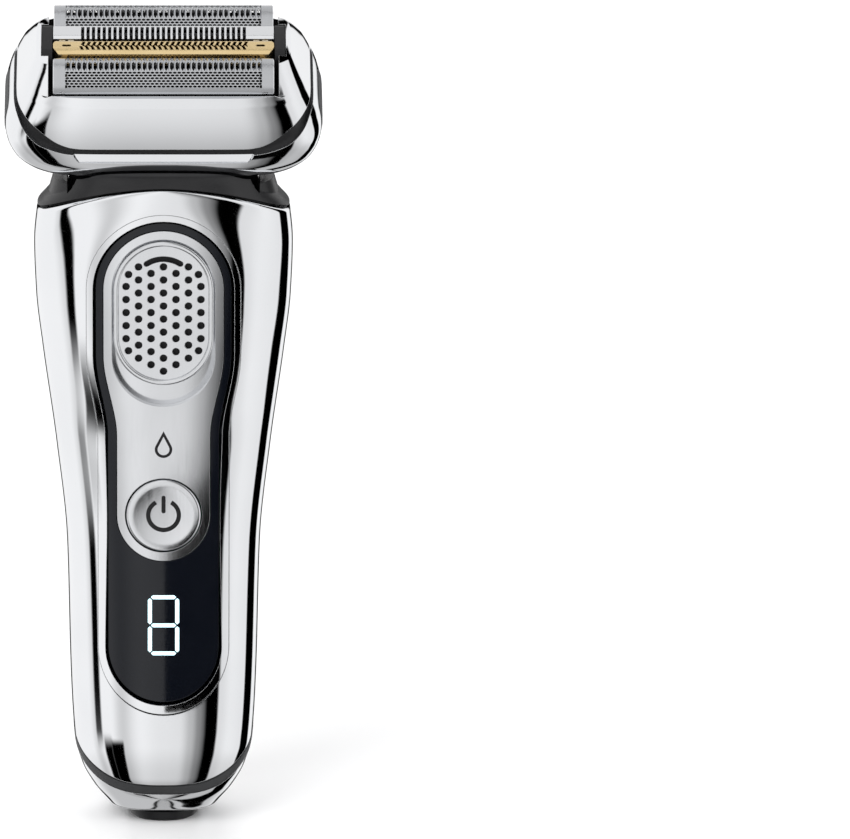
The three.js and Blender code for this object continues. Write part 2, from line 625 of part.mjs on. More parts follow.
function collarSection(angle, height, inset) {
  const front = Math.sin(angle) < 0;
  const power = 2 / (front ? FRONT_SQUARENESS : BACK_SQUARENESS);
  return [
    (profile(COLLAR_HALF_WIDTH, height) - inset) * signedPower(Math.cos(angle), power),
    (profile(front ? COLLAR_FRONT : COLLAR_BACK, height) - inset) * signedPower(Math.sin(angle), power),
  ];
}

buildDrive();
buildCollar();
buildDome();
buildSwivelFittings();

// ---------------------------------------------------------------- long-hair trimmer

function buildHairTrimmer() {
  const { halfWidth, bottom, top, outer } = HAIR_TRIMMER;
  const bladeBay = box(-halfWidth - 1, halfWidth + 1, 10, outer - 1.5, top - 6, top + 1);
  const carriage = cut(trimmerChannel(0, bottom, top), bladeBay);
  addPart(handle, 'trimmer_carriage', carriage, DARK_GREY);

  const teeth = [];
  for (let x = -12; x <= 12; x += 2) {
    teeth.push(box(x - 0.5, x + 0.5, 10, 20, top + 1.4, top + 5));
  }
  addPart(handle, 'trimmer_comb', cut(box(-13, 13, 15.3, 15.8, top - 5.6, top + 3.2), ...teeth), STEEL);
  const edge = teeth.map((tooth) => tooth.translate([1, 0, 0]));
  addPart(handle, 'trimmer_blade', cut(box(-11.6, 11.6, 14.6, 15.1, top - 5.6, top + 2.6), ...edge), STEEL);

  const ribs = [0, 2, 4, 6].map((step) => box(-5, 5, outer + 1.4, outer + 1.9, 93.5 + step, 94.5 + step));
  const thumb = prismAlongY(roundedRectangle(-6.5, 6.5, 91, 102, 3), outer + 0.3, outer + 1.5);
  addPart(handle, 'trimmer_thumb', unite(thumb, ...ribs), BLACK);
}

buildHairTrimmer();

// ---------------------------------------------------------------- head

// Everything below is in the head's coordinates: Z is the height above the foils' crest plane.
const head = new THREE.Group();
head.rotation.x = HEAD_TILT;
head.position.copy(HEAD_CENTRE);
handle.add(head);

function swivelRod(radius, xLow, xHigh, sides) {
  return rod('x', radius, xLow, xHigh, [0, SWIVEL_DEPTH, SWIVEL_HEIGHT], sides);
}

function releaseOutline(margin) {
  return roundedRectangle(-7.5 - margin, 7.5 + margin, -19.6 - margin, -11.8 + margin, 3);
}

function buildHeadFrame() {
  const below = prismAlongY(sideOfEdge(FRAME_EDGE, -FAR), -FAR, FAR);
  const [chin, heel] = HEAD_UNDERSIDE;
  const underside = prismAlongX(polygon([[chin[0], -FAR], [heel[0], -FAR], heel, chin]), -FAR, FAR);
  const bowl = headForm(0).intersect(below).subtract(underside);
  const cavity = headForm(2, [-17.2, -16, -12, -8, -5, 0]);
  const skirtRoom = swivelRod(DOME_RADIUS + 0.7, -LUG_INNER, LUG_INNER, 28)
    .subtract(box(-FAR, FAR, -FAR, FAR, SWIVEL_HEIGHT + 7.6, 10));
  const floorHole = box(-17, 17, -9, 9, -26, -10);
  const recessSection = polygon([[-20, -16], [-15.6, -16], [-15.6, -16.6], [-17.1, -18.4], [-20, -18.4]]);
  const thumbRecess = prismAlongX(recessSection, -17.5, 17.5);
  const lugs = [-1, 1].map((side) => {
    const ends = ordered(side, LUG_INNER, LUG_OUTER);
    const web = box(...ends, SWIVEL_DEPTH - LUG_RADIUS, SWIVEL_DEPTH + LUG_RADIUS, SWIVEL_HEIGHT, -20.5);
    return swivelRod(LUG_RADIUS, ...ends, 20).add(web);
  });
  const pocketStart = RELEASE_INNER - RELEASE_TRAVEL - GAP;
  const buttonPockets = [-1, 1]
    .map((side) => prismAlongX(releaseOutline(GAP), ...ordered(side, pocketStart, FAR)));
  const pinHole = swivelRod(PIN_RADIUS + GAP, -FAR, FAR, 16);
  const blank = unite(cut(bowl, cavity, skirtRoom, floorHole), ...lugs);
  addPart(head, 'head_frame', cut(blank, thumbRecess, ...buttonPockets, pinHole), CHROME);
}

function buildHeadTray() {
  const trayTop = prismAlongY(sideOfEdge(shiftEdge(CASSETTE_EDGE, -0.4), -40), -FAR, FAR);
  const trayBlank = headForm(2.3, [-16.9, -16, -12, -8, -5, 0]).intersect(trayTop);
  const trayPocket = headForm(4, [-15.8, -12, -8, -5, 5]);
  const forkSlot = box(-9.6, 9.6, -3.4, 3.4, -20, -10);
  const roomStart = RELEASE_SPRING_INNER - RELEASE_TRAVEL - 2 * GAP;
  const springRoom = [-1, 1]
    .map((side) => prismAlongX(releaseOutline(2 * GAP), ...ordered(side, roomStart, FAR)));
  addPart(head, 'head_tray', cut(trayBlank, trayPocket, forkSlot, ...springRoom), BLACK);
}

function buildReleases() {
  for (const [side, sign] of [['left', -1], ['right', 1]]) {
    const button = prismAlongX(releaseOutline(0), ...ordered(sign, RELEASE_INNER, FAR));
    addPart(head, `release_button_${side}`, button.intersect(headForm(-0.1)), DARK_GREY);

    const spring = new THREE.Mesh(coilSpring(1.3, 0.25, 3, 2.4), STEEL);
    spring.name = `release_spring_${side}`;
    spring.rotation.y = sign * Math.PI / 2;
    spring.position.set(sign * RELEASE_SPRING_INNER, 0, -15);
    head.add(spring);
  }
}

function buildBridge() {
  const plate = box(-9, 9, -11, 11, -14.6, -13.4);
  const pins = [FOIL_DEPTHS.front, TRIMMER_DEPTH, GUARD_DEPTH, FOIL_DEPTHS.rear]
    .map((depth) => rod('z', 0.7, -14, -9.4, [0, depth, 0], 10));
  const prongs = [-1, 1].map((side) => box(...ordered(side, 2.5, 3.6),
    SWIVEL_DEPTH - 2.2, SWIVEL_DEPTH + 2.2, SWIVEL_HEIGHT - 2, -14));
  addPart(head, 'drive_bridge', unite(plate, ...pins, ...prongs), BLACK);
}

function buildCassette() {
  const above = prismAlongY(sideOfEdge(CASSETTE_EDGE, 10), -FAR, FAR);
  const well = box(-WELL_HALF_WIDTH, WELL_HALF_WIDTH, -WELL_DEPTH, WELL_DEPTH, -FAR, FAR);
  const foilWindow = box(-WELL_HALF_WIDTH, WELL_HALF_WIDTH, -FAR, FAR, FOIL_RIM + 0.1, FAR);
  addPart(head, 'cassette_frame', cut(headForm(0).intersect(above), well, foilWindow), CHROME);

  const reach = WELL_HALF_WIDTH - GAP;
  const plate = box(-reach, reach, -WELL_DEPTH + GAP, WELL_DEPTH - GAP, CORE_BOTTOM, CORE_TOP);
  const endOutline = roundedRectangle(-12.6, 12.6, CORE_TOP - 2, -0.7, 2.5);
  const ends = [-1, 1]
    .map((side) => prismAlongX(endOutline, ...ordered(side, FOIL_HALF_LENGTH + GAP, reach)));
  const units = [
    { depth: FOIL_DEPTHS.front, half: 3.6, springX: SPRING_X },
    { depth: TRIMMER_DEPTH, half: 1.7, springX: -SPRING_X },
    { depth: GUARD_DEPTH, half: 1.7, springX: SPRING_X },
    { depth: FOIL_DEPTHS.rear, half: 3.6, springX: -SPRING_X },
  ];
  const slotEnd = CUTTER_HALF_LENGTH + SWING + GAP;
  const slots = units.map(({ depth, half }) => box(-slotEnd, slotEnd, depth - half, depth + half, -20, 0));
  const springWells = units.map(({ depth, springX }) => rod('z', 1.6, -11.9, 0, [springX, depth, 0], 12));
  addPart(head, 'cassette_core', cut(unite(plate, ...ends), ...slots, ...springWells), BLACK);
}

// Cross-section of a foil: an arch on a rim, with two legs that guide it.
function foilSection(grow) {
  const radius = FOIL_RADIUS - grow;
  const leg = 3.3 - grow;
  const shape = new THREE.Shape();
  shape.absarc(0, -FOIL_RADIUS, radius, 0, Math.PI);
  const rim = FOIL_RIM + grow;
  const foot = grow > 0 ? -30 : LEG_BOTTOM;
  shape.lineTo(-radius, rim);
  shape.lineTo(-leg, rim);
  shape.lineTo(-leg, foot);
  shape.lineTo(leg, foot);
  shape.lineTo(leg, rim);
  shape.lineTo(radius, rim);
  return shape;
}

function floatSpring(name, x, depth) {
  const spring = new THREE.Mesh(coilSpring(1.05, 0.22, 3, 2.8), STEEL);
  spring.name = name;
  spring.position.set(x, depth, -9);
  head.add(spring);
}

function buildFoil(side, springX) {
  const depth = FOIL_DEPTHS[side];
  const legTrim = [-1, 1].map((side) => box(...ordered(side, LEG_HALF_LENGTH, FAR), -10, 10, -20, FOIL_RIM));
  const shell = prismAlongX(foilSection(0), -FOIL_HALF_LENGTH, FOIL_HALF_LENGTH);
  const hollow = prismAlongX(foilSection(FOIL_WALL), -19.2, 19.2);
  const foil = cut(shell, hollow, ...legTrim).translate([0, depth, 0]);
  addPart(head, `foil_${side}`, foil, STEEL);
  floatSpring(`float_spring_foil_${side}`, springX, depth);

  const length = CUTTER_HALF_LENGTH;
  const blade = rod('x', 3.15, -length, length, [0, 0, -FOIL_RADIUS], 16);
  const stem = box(-length, length, -2.3, 2.3, -11, -FOIL_RADIUS);
  const notch = box(-1.2, 1.2, -4, 4, -20, -6.3);
  const slits = [];
  for (let x = -13.5; x <= 13.5; x += 4.5) {
    slits.push(box(x - 0.8, x + 0.8, -4, 4, -3.6, 0));
  }
  const trimmed = blade.subtract(box(-FAR, FAR, -4, 4, -10, -4.6));
  const cutter = cut(unite(trimmed, stem), notch, ...slits).translate([0, depth, 0]);
  addPart(head, `cutter_${side}`, cutter, STEEL);
}

// A narrow shaving unit between the foils: a slotted bar with a moving blade inside it.
function buildBarUnit({ name, bladeName, springName, depth, halfWidth, top, pitch, springX, material }) {
  const cap = polygon([[-1.4, -5.7], [1.4, -5.7], [halfWidth, -2.6], [halfWidth, top - 0.9],
    [halfWidth - 0.5, top], [-halfWidth + 0.5, top], [-halfWidth, top - 0.9], [-halfWidth, -2.6]]);
  const legs = box(-LEG_HALF_LENGTH, LEG_HALF_LENGTH, -1.4, 1.4, LEG_BOTTOM, -4);
  const room = box(-19.2, 19.2, -0.9, 0.9, -30, top - 0.6);
  const slits = [];
  for (let x = -16; x <= 16; x += pitch) {
    slits.push(box(x - pitch * 0.2, x + pitch * 0.2, -0.7, halfWidth + 1, top - 1.4, top + 1));
  }
  const bar = unite(prismAlongX(cap, -FOIL_HALF_LENGTH, FOIL_HALF_LENGTH), legs);
  addPart(head, name, cut(bar, room, ...slits).translate([0, depth, 0]), material);
  floatSpring(springName, springX, depth);

  const blade = cut(box(-16.6, 16.6, -0.55, 0.55, -11, top - 1), box(-1.2, 1.2, -4, 4, -20, -6.3));
  addPart(head, bladeName, blade.translate([0, depth, 0]), STEEL);
}

buildHeadFrame();
buildHeadTray();
buildReleases();
buildBridge();
buildCassette();
buildFoil('front', SPRING_X);
buildFoil('rear', -SPRING_X);
buildBarUnit({
  name: 'lift_trimmer', bladeName: 'lift_blade', springName: 'float_spring_lift',
  depth: TRIMMER_DEPTH, halfWidth: 2.1, top: -0.4, pitch: 4, springX: -SPRING_X, material: GOLD,
});
buildBarUnit({
  name: 'skin_guard', bladeName: 'guard_blade', springName: 'float_spring_guard',
  depth: GUARD_DEPTH, halfWidth: 2.1, top: -0.5, pitch: 4, springX: SPRING_X, material: CHROME,
});

const shaver = new THREE.Group();
handle.position.y = DEPTH_OFFSET;
shaver.add(handle);

export default shaver;
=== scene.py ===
"""Looks of the foil shaver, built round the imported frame. Lengths are in millimetres until a mesh is made."""
import json
import math

import bmesh
import bpy
from mathutils import Matrix, Vector
from mathutils.bvhtree import BVHTree


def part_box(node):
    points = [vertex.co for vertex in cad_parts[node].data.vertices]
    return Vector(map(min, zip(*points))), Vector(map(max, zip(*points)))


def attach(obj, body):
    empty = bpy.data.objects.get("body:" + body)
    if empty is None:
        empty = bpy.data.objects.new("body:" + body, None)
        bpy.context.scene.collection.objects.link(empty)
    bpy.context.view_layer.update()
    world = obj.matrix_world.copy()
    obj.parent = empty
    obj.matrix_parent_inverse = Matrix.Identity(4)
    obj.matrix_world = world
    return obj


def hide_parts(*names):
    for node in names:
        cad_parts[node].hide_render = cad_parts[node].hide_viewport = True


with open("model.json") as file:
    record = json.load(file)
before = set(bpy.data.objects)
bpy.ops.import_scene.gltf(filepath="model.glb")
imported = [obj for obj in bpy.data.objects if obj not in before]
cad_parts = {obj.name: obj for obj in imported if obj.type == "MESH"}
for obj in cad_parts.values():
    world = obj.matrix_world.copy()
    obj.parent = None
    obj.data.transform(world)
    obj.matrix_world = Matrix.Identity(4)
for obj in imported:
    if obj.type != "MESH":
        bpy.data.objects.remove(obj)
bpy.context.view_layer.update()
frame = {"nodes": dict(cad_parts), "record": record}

MM = 0.001
FAR = 60.0                      # beyond the object on any side, for cutters

# ---------------------------------------------------------------- places taken from the frame


def box_mm(node):
    """Lowest and highest corner of a CAD node, in millimetres."""
    low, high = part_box(node)
    return low / MM, high / MM


def joint(name):
    """A joint of the record by its name."""
    return next(j for j in frame["record"]["behaviour"]["joints"] if j["name"] == name)


pin_low, pin_high = box_mm("contact_pin_left")
BODY_Y = (pin_low.y + pin_high.y) / 2      # the body's own centre plane
SWIVEL = Vector(joint("head_swivel")["pos_m"]) / MM
LIFT = Vector(joint("cassette_lift")["axis"])
TILT = math.atan2(-LIFT.y, LIFT.z)
SWIVEL_IN_HEAD = Vector((0.0, -0.5, -24.5))
HEAD = (Matrix.Translation(SWIVEL) @ Matrix.Rotation(TILT, 4, "X")
        @ Matrix.Translation(-SWIVEL_IN_HEAD))

# ---------------------------------------------------------------- driving dimensions

# Body: half-width, front depth and back depth at heights above the floor.
BODY_HALF_WIDTH = [(0, 8.5), (3.6, 11.5), (7, 14.1), (11, 16.2), (16, 17.5), (30, 18.3), (56, 18.95),
                   (76, 21), (95, 23.6), (106, 24.85), (116, 25.2), (123.4, 24.5), (130, 22.8)]
BODY_FRONT = [(0, 7.5), (3.6, 10.7), (7, 13.2), (10, 14.5), (20, 16), (40, 15.8),
              (60, 15.5), (80, 16.2), (100, 17), (116, 16.7), (130, 14.8)]
BODY_BACK = [(0, 8), (3.6, 10.8), (7, 12.6), (10, 13.5), (20, 14.5), (40, 15),
             (60, 15.5), (90, 17.3), (108, 17.7), (130, 16.6)]
FRONT_SQUARENESS = 2.8
BACK_SQUARENESS = 2.35
SHELL_THICKNESS = 1.5
BODY_AROUND = 200

ARCH_TOP = 129.2
ARCH_RADIUS = 54.0
# Parting line between the shells, as depth at heights, and the base ring's top edge, as height at depths.
PARTING = [(8.6, -14.6), (11.2, -12.4), (14.3, -9.3), (17.8, -5), (22, -1), (29, 1.8), (42, 3.1), (60, 3.5)]
RING_EDGE = [(-14.6, 5.4), (-12.2, 7.6), (-9.3, 10.6), (-5, 13.4), (0, 15.4), (8, 17), (20, 17.6)]
RING_BOTTOM, RING_FLOOR = 2.3, 5.2
RING_HEIGHT, RING_ROUND = 18.5, 0.6
FOOT_HALF_WIDTH = [(0, 6.7), (2, 7.3)]
FOOT_DEPTH = [(0, 8.6), (2, 9.1)]
FOOT_SQUARENESS = 2.4
FOOT_ROUND = 0.5

SHOULDER_HEIGHT = 96.5
WAIST_HEIGHT = 80.0
BEZEL = {"top": 124.5, "top_radius": 14.9, "waist": 12.7, "end": 37.4, "end_radius": 13.2}
BEZEL_HOLE = {"top": 122.9, "top_radius": 13.3, "waist": 10.95, "end": 37.4, "end_radius": 11.1}
LENS = {"top": 122.6, "top_radius": 13.0, "waist": 10.65, "end": 37.4, "end_radius": 10.8}
PANEL = {"top": 121.2, "top_radius": 11.6, "waist": 9.0, "end": 64.0, "end_radius": 9.0}
# The shell's opening is tight on the bezel's sides and leaves a shadow gap under its lower end.
BEZEL_OPENING = {"top": 124.56, "top_radius": 14.96, "waist": 12.76, "end": 37.4, "end_radius": 13.6}
BUTTON_HEIGHT = 64.2
BUTTON_RADIUS = 7.25
SLIDER_BOTTOM, SLIDER_TOP, SLIDER_HALF_WIDTH = 90.7, 119.3, 9.7
SLIDER_TRAVEL = 4.1

# Head, in its own coordinates: heights are measured from the crest plane of the foils.
HEAD_HALF_WIDTH = [(-23.4, 22.2), (-22.8, 25), (-21.6, 27.5), (-19.5, 29.5), (-17, 30.5), (-15.5, 30.7),
                   (-12, 30), (-8, 28.3), (-4.5, 26.4), (-1.2, 24.5)]
HEAD_DEPTH = [(-23.4, 14.2), (-22.9, 15.1), (-22, 15.9), (-19, 16.7), (-16, 16.9), (-6.5, 15.9), (-5.1, 14.7),
              (-3, 12.4), (-1.2, 9.6)]
HEAD_BOTTOM, HEAD_TOP = HEAD_HALF_WIDTH[0][0], HEAD_HALF_WIDTH[-1][0]
# The head's underside rises from its chin toward the rear.
HEAD_UNDERSIDE = [(-15, -23.5), (17, -21.9)]
HEAD_SQUARENESS = 5.5
HEAD_AROUND = 240
CASSETTE_EDGE = [(0, -15.4), (19, -15.4), (25.3, -10.9), (28.2, -8.2), (34, -5)]
FRAME_EDGE = [(0, -16.6), (19, -16.8), (24.4, -15), (27, -12.6), (28.6, -9.4), (34, -6)]
WELL_HALF_WIDTH = 23.6
WELL_DEPTH = 13.8
WINDOW_HALF_WIDTH = 22.2
FOIL_DEPTH = 9.4
FOIL_RADIUS = 4.0
FOIL_HALF_LENGTH = 21.3
TRIMMER_DEPTH = -3.1
GUARD_DEPTH = 2.5

# ---------------------------------------------------------------- profiles and sections


def profile(rows, height):
    """Smooth value at a height, with no overshoot between the rows."""
    last = len(rows) - 1
    if height <= rows[0][0]:
        return rows[0][1]
    if height >= rows[last][0]:
        return rows[last][1]

    def slope(i):
        return (rows[i + 1][1] - rows[i][1]) / (rows[i + 1][0] - rows[i][0])

    def tangent(i):
        if i == 0:
            return slope(0)
        if i == last:
            return slope(last - 1)
        before, after = slope(i - 1), slope(i)
        return 0.0 if before * after <= 0 else 2 * before * after / (before + after)

    i = next(k for k in range(last) if rows[k + 1][0] > height)
    span = rows[i + 1][0] - rows[i][0]
    t = (height - rows[i][0]) / span
    rise = (1 - t) ** 2 * (1 + 2 * t) * rows[i][1] + t ** 2 * (3 - 2 * t) * rows[i + 1][1]
    return rise + span * (t * (1 - t) ** 2 * tangent(i) - t ** 2 * (1 - t) * tangent(i + 1))


def superellipse(angle, half_width, depth, power):
    """Point of a rounded rectangle in the direction of an angle from the front (-Y)."""
    s, c = math.sin(angle), math.cos(angle)
    radius = ((abs(s) / half_width) ** power + (abs(c) / depth) ** power) ** (-1 / power)
    return radius * s, -radius * c


def section(angle, height, half_widths, fronts, backs, inset=0.0):
    """Place on a body surface in the direction of an angle from the front, at a height."""
    front = math.cos(angle) > 0
    depth = profile(fronts if front else backs, height) - inset
    power = FRONT_SQUARENESS if front else BACK_SQUARENESS
    x, y = superellipse(angle, profile(half_widths, height) - inset, depth, power)
    return Vector((x, y + BODY_Y, height))


def body_section(angle, height, inset=0.0):
    """Place on the body's own surface."""
    return section(angle, height, BODY_HALF_WIDTH, BODY_FRONT, BODY_BACK, inset)


def head_section(angle, height, inset=0.0):
    """Head surface, in head coordinates."""
    x, y = superellipse(angle, profile(HEAD_HALF_WIDTH, height) - inset,
                        profile(HEAD_DEPTH, height) - inset, HEAD_SQUARENESS)
    return Vector((x, y, height))


def front_y(x, height, inset=0.0):
    """Depth of the body's front surface at a place on the panel."""
    half_width = profile(BODY_HALF_WIDTH, height) - inset
    depth = profile(BODY_FRONT, height) - inset
    reach = min(abs(x) / half_width, 1.0)
    return BODY_Y - depth * (1 - reach ** FRONT_SQUARENESS) ** (1 / FRONT_SQUARENESS)


def smoothstep(low, high, value):
    """Eases from 0 to 1 between two values."""
    t = min(max((value - low) / (high - low), 0.0), 1.0)
    return t * t * (3 - 2 * t)


def edge_round(radius, distance):
    """How far a rounded edge draws in at a distance from the edge."""
    return radius - math.sqrt(radius ** 2 - max(radius - distance, 0.0) ** 2)


# ---------------------------------------------------------------- mesh building


def mesh_object(name, points, faces, matrix=None):
    """An object from points in millimetres."""
    mesh = bpy.data.meshes.new(name)
    placed = [matrix @ p for p in points] if matrix else points
    mesh.from_pydata([Vector(p) * MM for p in placed], [], faces)
    mesh.validate()
    obj = bpy.data.objects.new(name, mesh)
    bpy.context.scene.collection.objects.link(obj)
    return obj


def loft(name, rings, matrix=None):
    """A closed solid through rings of equal length, with flat ends."""
    around = len(rings[0])
    last = (len(rings) - 1) * around
    faces = []
    for base in range(0, last, around):
        for k in range(around):
            a, b = base + k, base + (k + 1) % around
            faces.append((a, b, b + around, a + around))
    faces += [tuple(reversed(range(around))), tuple(range(last, last + around))]
    return mesh_object(name, [point for ring in rings for point in ring], faces, matrix)


def form(name, point, rows, around, matrix=None):
    """A closed lofted form: point(angle, row fraction) with flat ends."""
    angles = [-math.pi + 2 * math.pi * k / around for k in range(around)]
    return loft(name, [[point(angle, r / (rows - 1)) for angle in angles] for r in range(rows)], matrix)


def prism(name, outline, low, high, axis, matrix=None):
    """A closed outline extruded between two stations; axis 'x', 'y' or 'z'."""
    area = sum(a[0] * b[1] - b[0] * a[1] for a, b in zip(outline, outline[1:] + outline[:1]))
    if (area < 0) != (axis == "y"):
        outline = outline[::-1]
    station = "xyz".index(axis)
    rings = [[Vector((*p[:station], w, *p[station:])) for p in outline] for w in (low, high)]
    return loft(name, rings, matrix)


def block(name, x_low, x_high, y_low, y_high, z_low, z_high, matrix=None):
    """A box-shaped cutter."""
    outline = [(x_low, y_low), (x_high, y_low), (x_high, y_high), (x_low, y_high)]
    return prism(name, outline, z_low, z_high, "z", matrix)


def arc(cx, cy, rx, ry, start, end, count):
    """Points along an elliptical arc, ends included; angles in degrees."""
    angles = [math.radians(start + (end - start) * k / count) for k in range(count + 1)]
    return [(cx + rx * math.cos(a), cy + ry * math.sin(a)) for a in angles]


def circle(cx, cy, radius, count=48):
    """A full circle as an outline."""
    return arc(cx, cy, radius, radius, 0, 360, count)[:-1]


def rounded(u_low, u_high, v_low, v_high, radius, count=10):
    """A rounded rectangle as an outline."""
    left, right, under, over = u_low + radius, u_high - radius, v_low + radius, v_high - radius
    corners = [(right, under, -90), (right, over, 0), (left, over, 90), (left, under, 180)]
    return [p for u, v, start in corners for p in arc(u, v, radius, radius, start, start + 90, count)]


def keyhole(shape, margin=0.0, fine=40):
    """Outline of the panel family: round top, S-shaped waist, rounded lower end."""
    top = shape["top_radius"] + margin
    waist = shape["waist"] + margin
    centre = shape["top"] - shape["top_radius"]
    rise = SHOULDER_HEIGHT - WAIST_HEIGHT
    steps = [t / 20 for t in range(21)]
    ramp = [(waist + (top - waist) * smoothstep(0, 1, t), WAIST_HEIGHT + rise * t) for t in steps]
    left_ramp = [(-x, z) for x, z in reversed(ramp)]
    end = arc(0, shape["end"], waist, shape["end_radius"] + margin, 180, 360, fine)
    crown = arc(0, centre, top, top, 0, 180, fine)
    return end + ramp + crown + left_ramp


def boolean(obj, other, operation):
    """Joins or cuts with another closed mesh, and removes that mesh."""
    modifier = obj.modifiers.new("step", "BOOLEAN")
    modifier.operation = operation
    modifier.solver = "MANIFOLD"
    modifier.object = other
    bake(obj)
    discard(other)
    return obj


def discard(obj):
    """Removes a helper object and its mesh."""
    mesh = obj.data
    bpy.data.objects.remove(obj)
    bpy.data.meshes.remove(mesh)


def bake(obj):
    """Makes an object's modifiers permanent."""
    graph = bpy.context.evaluated_depsgraph_get()
    graph.update()
    mesh = bpy.data.meshes.new_from_object(obj.evaluated_get(graph))
    obj.modifiers.clear()
    old = obj.data
    obj.data = mesh
    bpy.data.meshes.remove(old)
    mesh.name = obj.name


def cut(obj, *others):
    """Takes several closed meshes away."""
    for other in others:
        boolean(obj, other, "DIFFERENCE")
    return obj


def keep_inside(obj, other):
    """Keeps what lies inside another closed mesh."""
    return boolean(obj, other, "INTERSECT")


def unite(obj, *others):
    """Joins closed meshes into one."""
    for other in others:
        boolean(obj, other, "UNION")
    return obj


def merge(obj, *others):
    """Puts several meshes into one object without joining their surfaces."""
    with bpy.context.temp_override(active_object=obj, selected_editable_objects=[obj, *others]):
        bpy.ops.object.join()
    return obj


def copy_of(obj, name):
    """A separate copy of an object and its mesh."""
    twin = bpy.data.objects.new(name, obj.data.copy())
    bpy.context.scene.collection.objects.link(twin)
    return twin


SMOOTH_ANGLE = math.radians(32)
ON_SURFACE = 0.02 * MM          # how near a corner lies to a source form to take its normal
SAME_FACING = 0.85              # least agreement between a face and the normal it takes


def smooth(obj, source):
    """Smooth shading, with the normals of the uncut source form wherever the surface is its own."""
    mesh = obj.data
    mesh.polygons.foreach_set("use_smooth", [True] * len(mesh.polygons))
    mesh.set_sharp_from_angle(angle=SMOOTH_ANGLE)
    if source:
        normals = [Vector((0, 0, 0))] * len(mesh.loops)
        borrow_normals(mesh, source.data, normals)
        mesh.normals_split_custom_set(normals)


def borrow_normals(mesh, source, normals):
    """Fills in loop normals from the nearest place on a source mesh."""
    corners = [v.co.copy() for v in source.vertices]
    vertex_normals = [n.vector.copy() for n in source.vertex_normals]
    source.calc_loop_triangles()
    triangles = [tuple(t.vertices) for t in source.loop_triangles]
    tree = BVHTree.FromPolygons(corners, triangles)
    for polygon in mesh.polygons:
        for loop in polygon.loop_indices:
            here = mesh.vertices[mesh.loops[loop].vertex_index].co
            spot, _, index, distance = tree.find_nearest(here)
            if index is None or distance > ON_SURFACE:
                continue
            a, b, c = triangles[index]
            weights = barycentric(spot, corners[a], corners[b], corners[c])
            normal = Vector((0, 0, 0))
            for corner, weight in zip(triangles[index], weights):
                normal += vertex_normals[corner] * weight
            if normal.length > 0 and normal.normalized().dot(polygon.normal) > SAME_FACING:
                normals[loop] = normal.normalized()


def barycentric(p, a, b, c):
    """Weights of a point in a triangle."""
    ab, ac, ap = b - a, c - a, p - a
    d00, d01, d11 = ab.dot(ab), ab.dot(ac), ac.dot(ac)
    d20, d21 = ap.dot(ab), ap.dot(ac)
    scale = d00 * d11 - d01 * d01
    if abs(scale) < 1e-24:
        return 1.0, 0.0, 0.0
    v = (d11 * d20 - d01 * d21) / scale
    w = (d00 * d21 - d01 * d20) / scale
    return 1 - v - w, v, w


# ---------------------------------------------------------------- materials


def new_material(name, color, roughness, metallic=0.0, specular=0.5):
    """A node material whose even values sit on the shader's own sockets."""
    material = bpy.data.materials.new(name)
    material.use_nodes = True
    shader = material.node_tree.nodes["Principled BSDF"]
    shader.inputs["Base Color"].default_value = (*color, 1)
    shader.inputs["Roughness"].default_value = roughness
    shader.inputs["Metallic"].default_value = metallic
    shader.inputs["Specular IOR Level"].default_value = specular
    return material, material.node_tree, shader


def add(tree, kind, **inputs):
    """Adds a node and sets its inputs by name."""
    node = tree.nodes.new(kind)
    for key, value in inputs.items():
        node.inputs[key.replace("_", " ")].default_value = value
    return node


def object_noise(tree, scale, detail=3.0, stretch=(1, 1, 1)):
    """Noise in object space, stretched along an axis if asked."""
    place = tree.nodes.new("ShaderNodeTexCoord")
    mapping = tree.nodes.new("ShaderNodeMapping")
    mapping.inputs["Scale"].default_value = stretch
    noise = add(tree, "ShaderNodeTexNoise", Scale=scale, Detail=detail)
    tree.links.new(place.outputs["Object"], mapping.inputs["Vector"])
    tree.links.new(mapping.outputs["Vector"], noise.inputs["Vector"])
    return noise


def vary(tree, source, target, low, high):
    """Maps a 0 to 1 texture onto a shader input between two values."""
    span = tree.nodes.new("ShaderNodeMapRange")
    span.inputs["From Min"].default_value = 0.3
    span.inputs["From Max"].default_value = 0.7
    span.inputs["To Min"].default_value = low
    span.inputs["To Max"].default_value = high
    tree.links.new(source.outputs["Fac"], span.inputs["Value"])
    tree.links.new(span.outputs["Result"], target)


def blend_colors(tree, source, target, first, second):
    """Mixes two colours by a texture."""
    ramp = tree.nodes.new("ShaderNodeValToRGB")
    ramp.color_ramp.elements[0].position = 0.3
    ramp.color_ramp.elements[1].position = 0.7
    ramp.color_ramp.elements[0].color = (*first, 1)
    ramp.color_ramp.elements[1].color = (*second, 1)
    tree.links.new(source.outputs["Fac"], ramp.inputs["Fac"])
    tree.links.new(ramp.outputs["Color"], target)


def relief(tree, shader, source, strength, distance, edge=0.12):
    """Fine surface bump on top of softly rounded edges."""
    bump = add(tree, "ShaderNodeBump", Strength=strength, Distance=distance * MM)
    tree.links.new(source.outputs["Fac"], bump.inputs["Height"])
    tree.links.new(bump.outputs["Normal"], shader.inputs["Normal"])
    if edge:
        rounding = tree.nodes.new("ShaderNodeBevel")
        rounding.samples = 4
        rounding.inputs["Radius"].default_value = edge * MM
        tree.links.new(rounding.outputs["Normal"], bump.inputs["Normal"])


def metal(name, color, dark, roughness, grain=(1, 1, 1), grain_scale=900, bump=0.02, edge=0.12, spread=0.03):
    """Plated or satin metal: grain, slight colour drift and handling marks."""
    material, tree, shader = new_material(name, color, roughness, metallic=1.0)
    broad = object_noise(tree, 60, 2)
    blend_colors(tree, broad, shader.inputs["Base Color"], dark, color)
    fine = object_noise(tree, grain_scale, 4, grain)
    vary(tree, fine, shader.inputs["Roughness"], max(roughness - spread, 0.015), roughness + spread)
    relief(tree, shader, fine, bump, 0.02, edge)
    return material


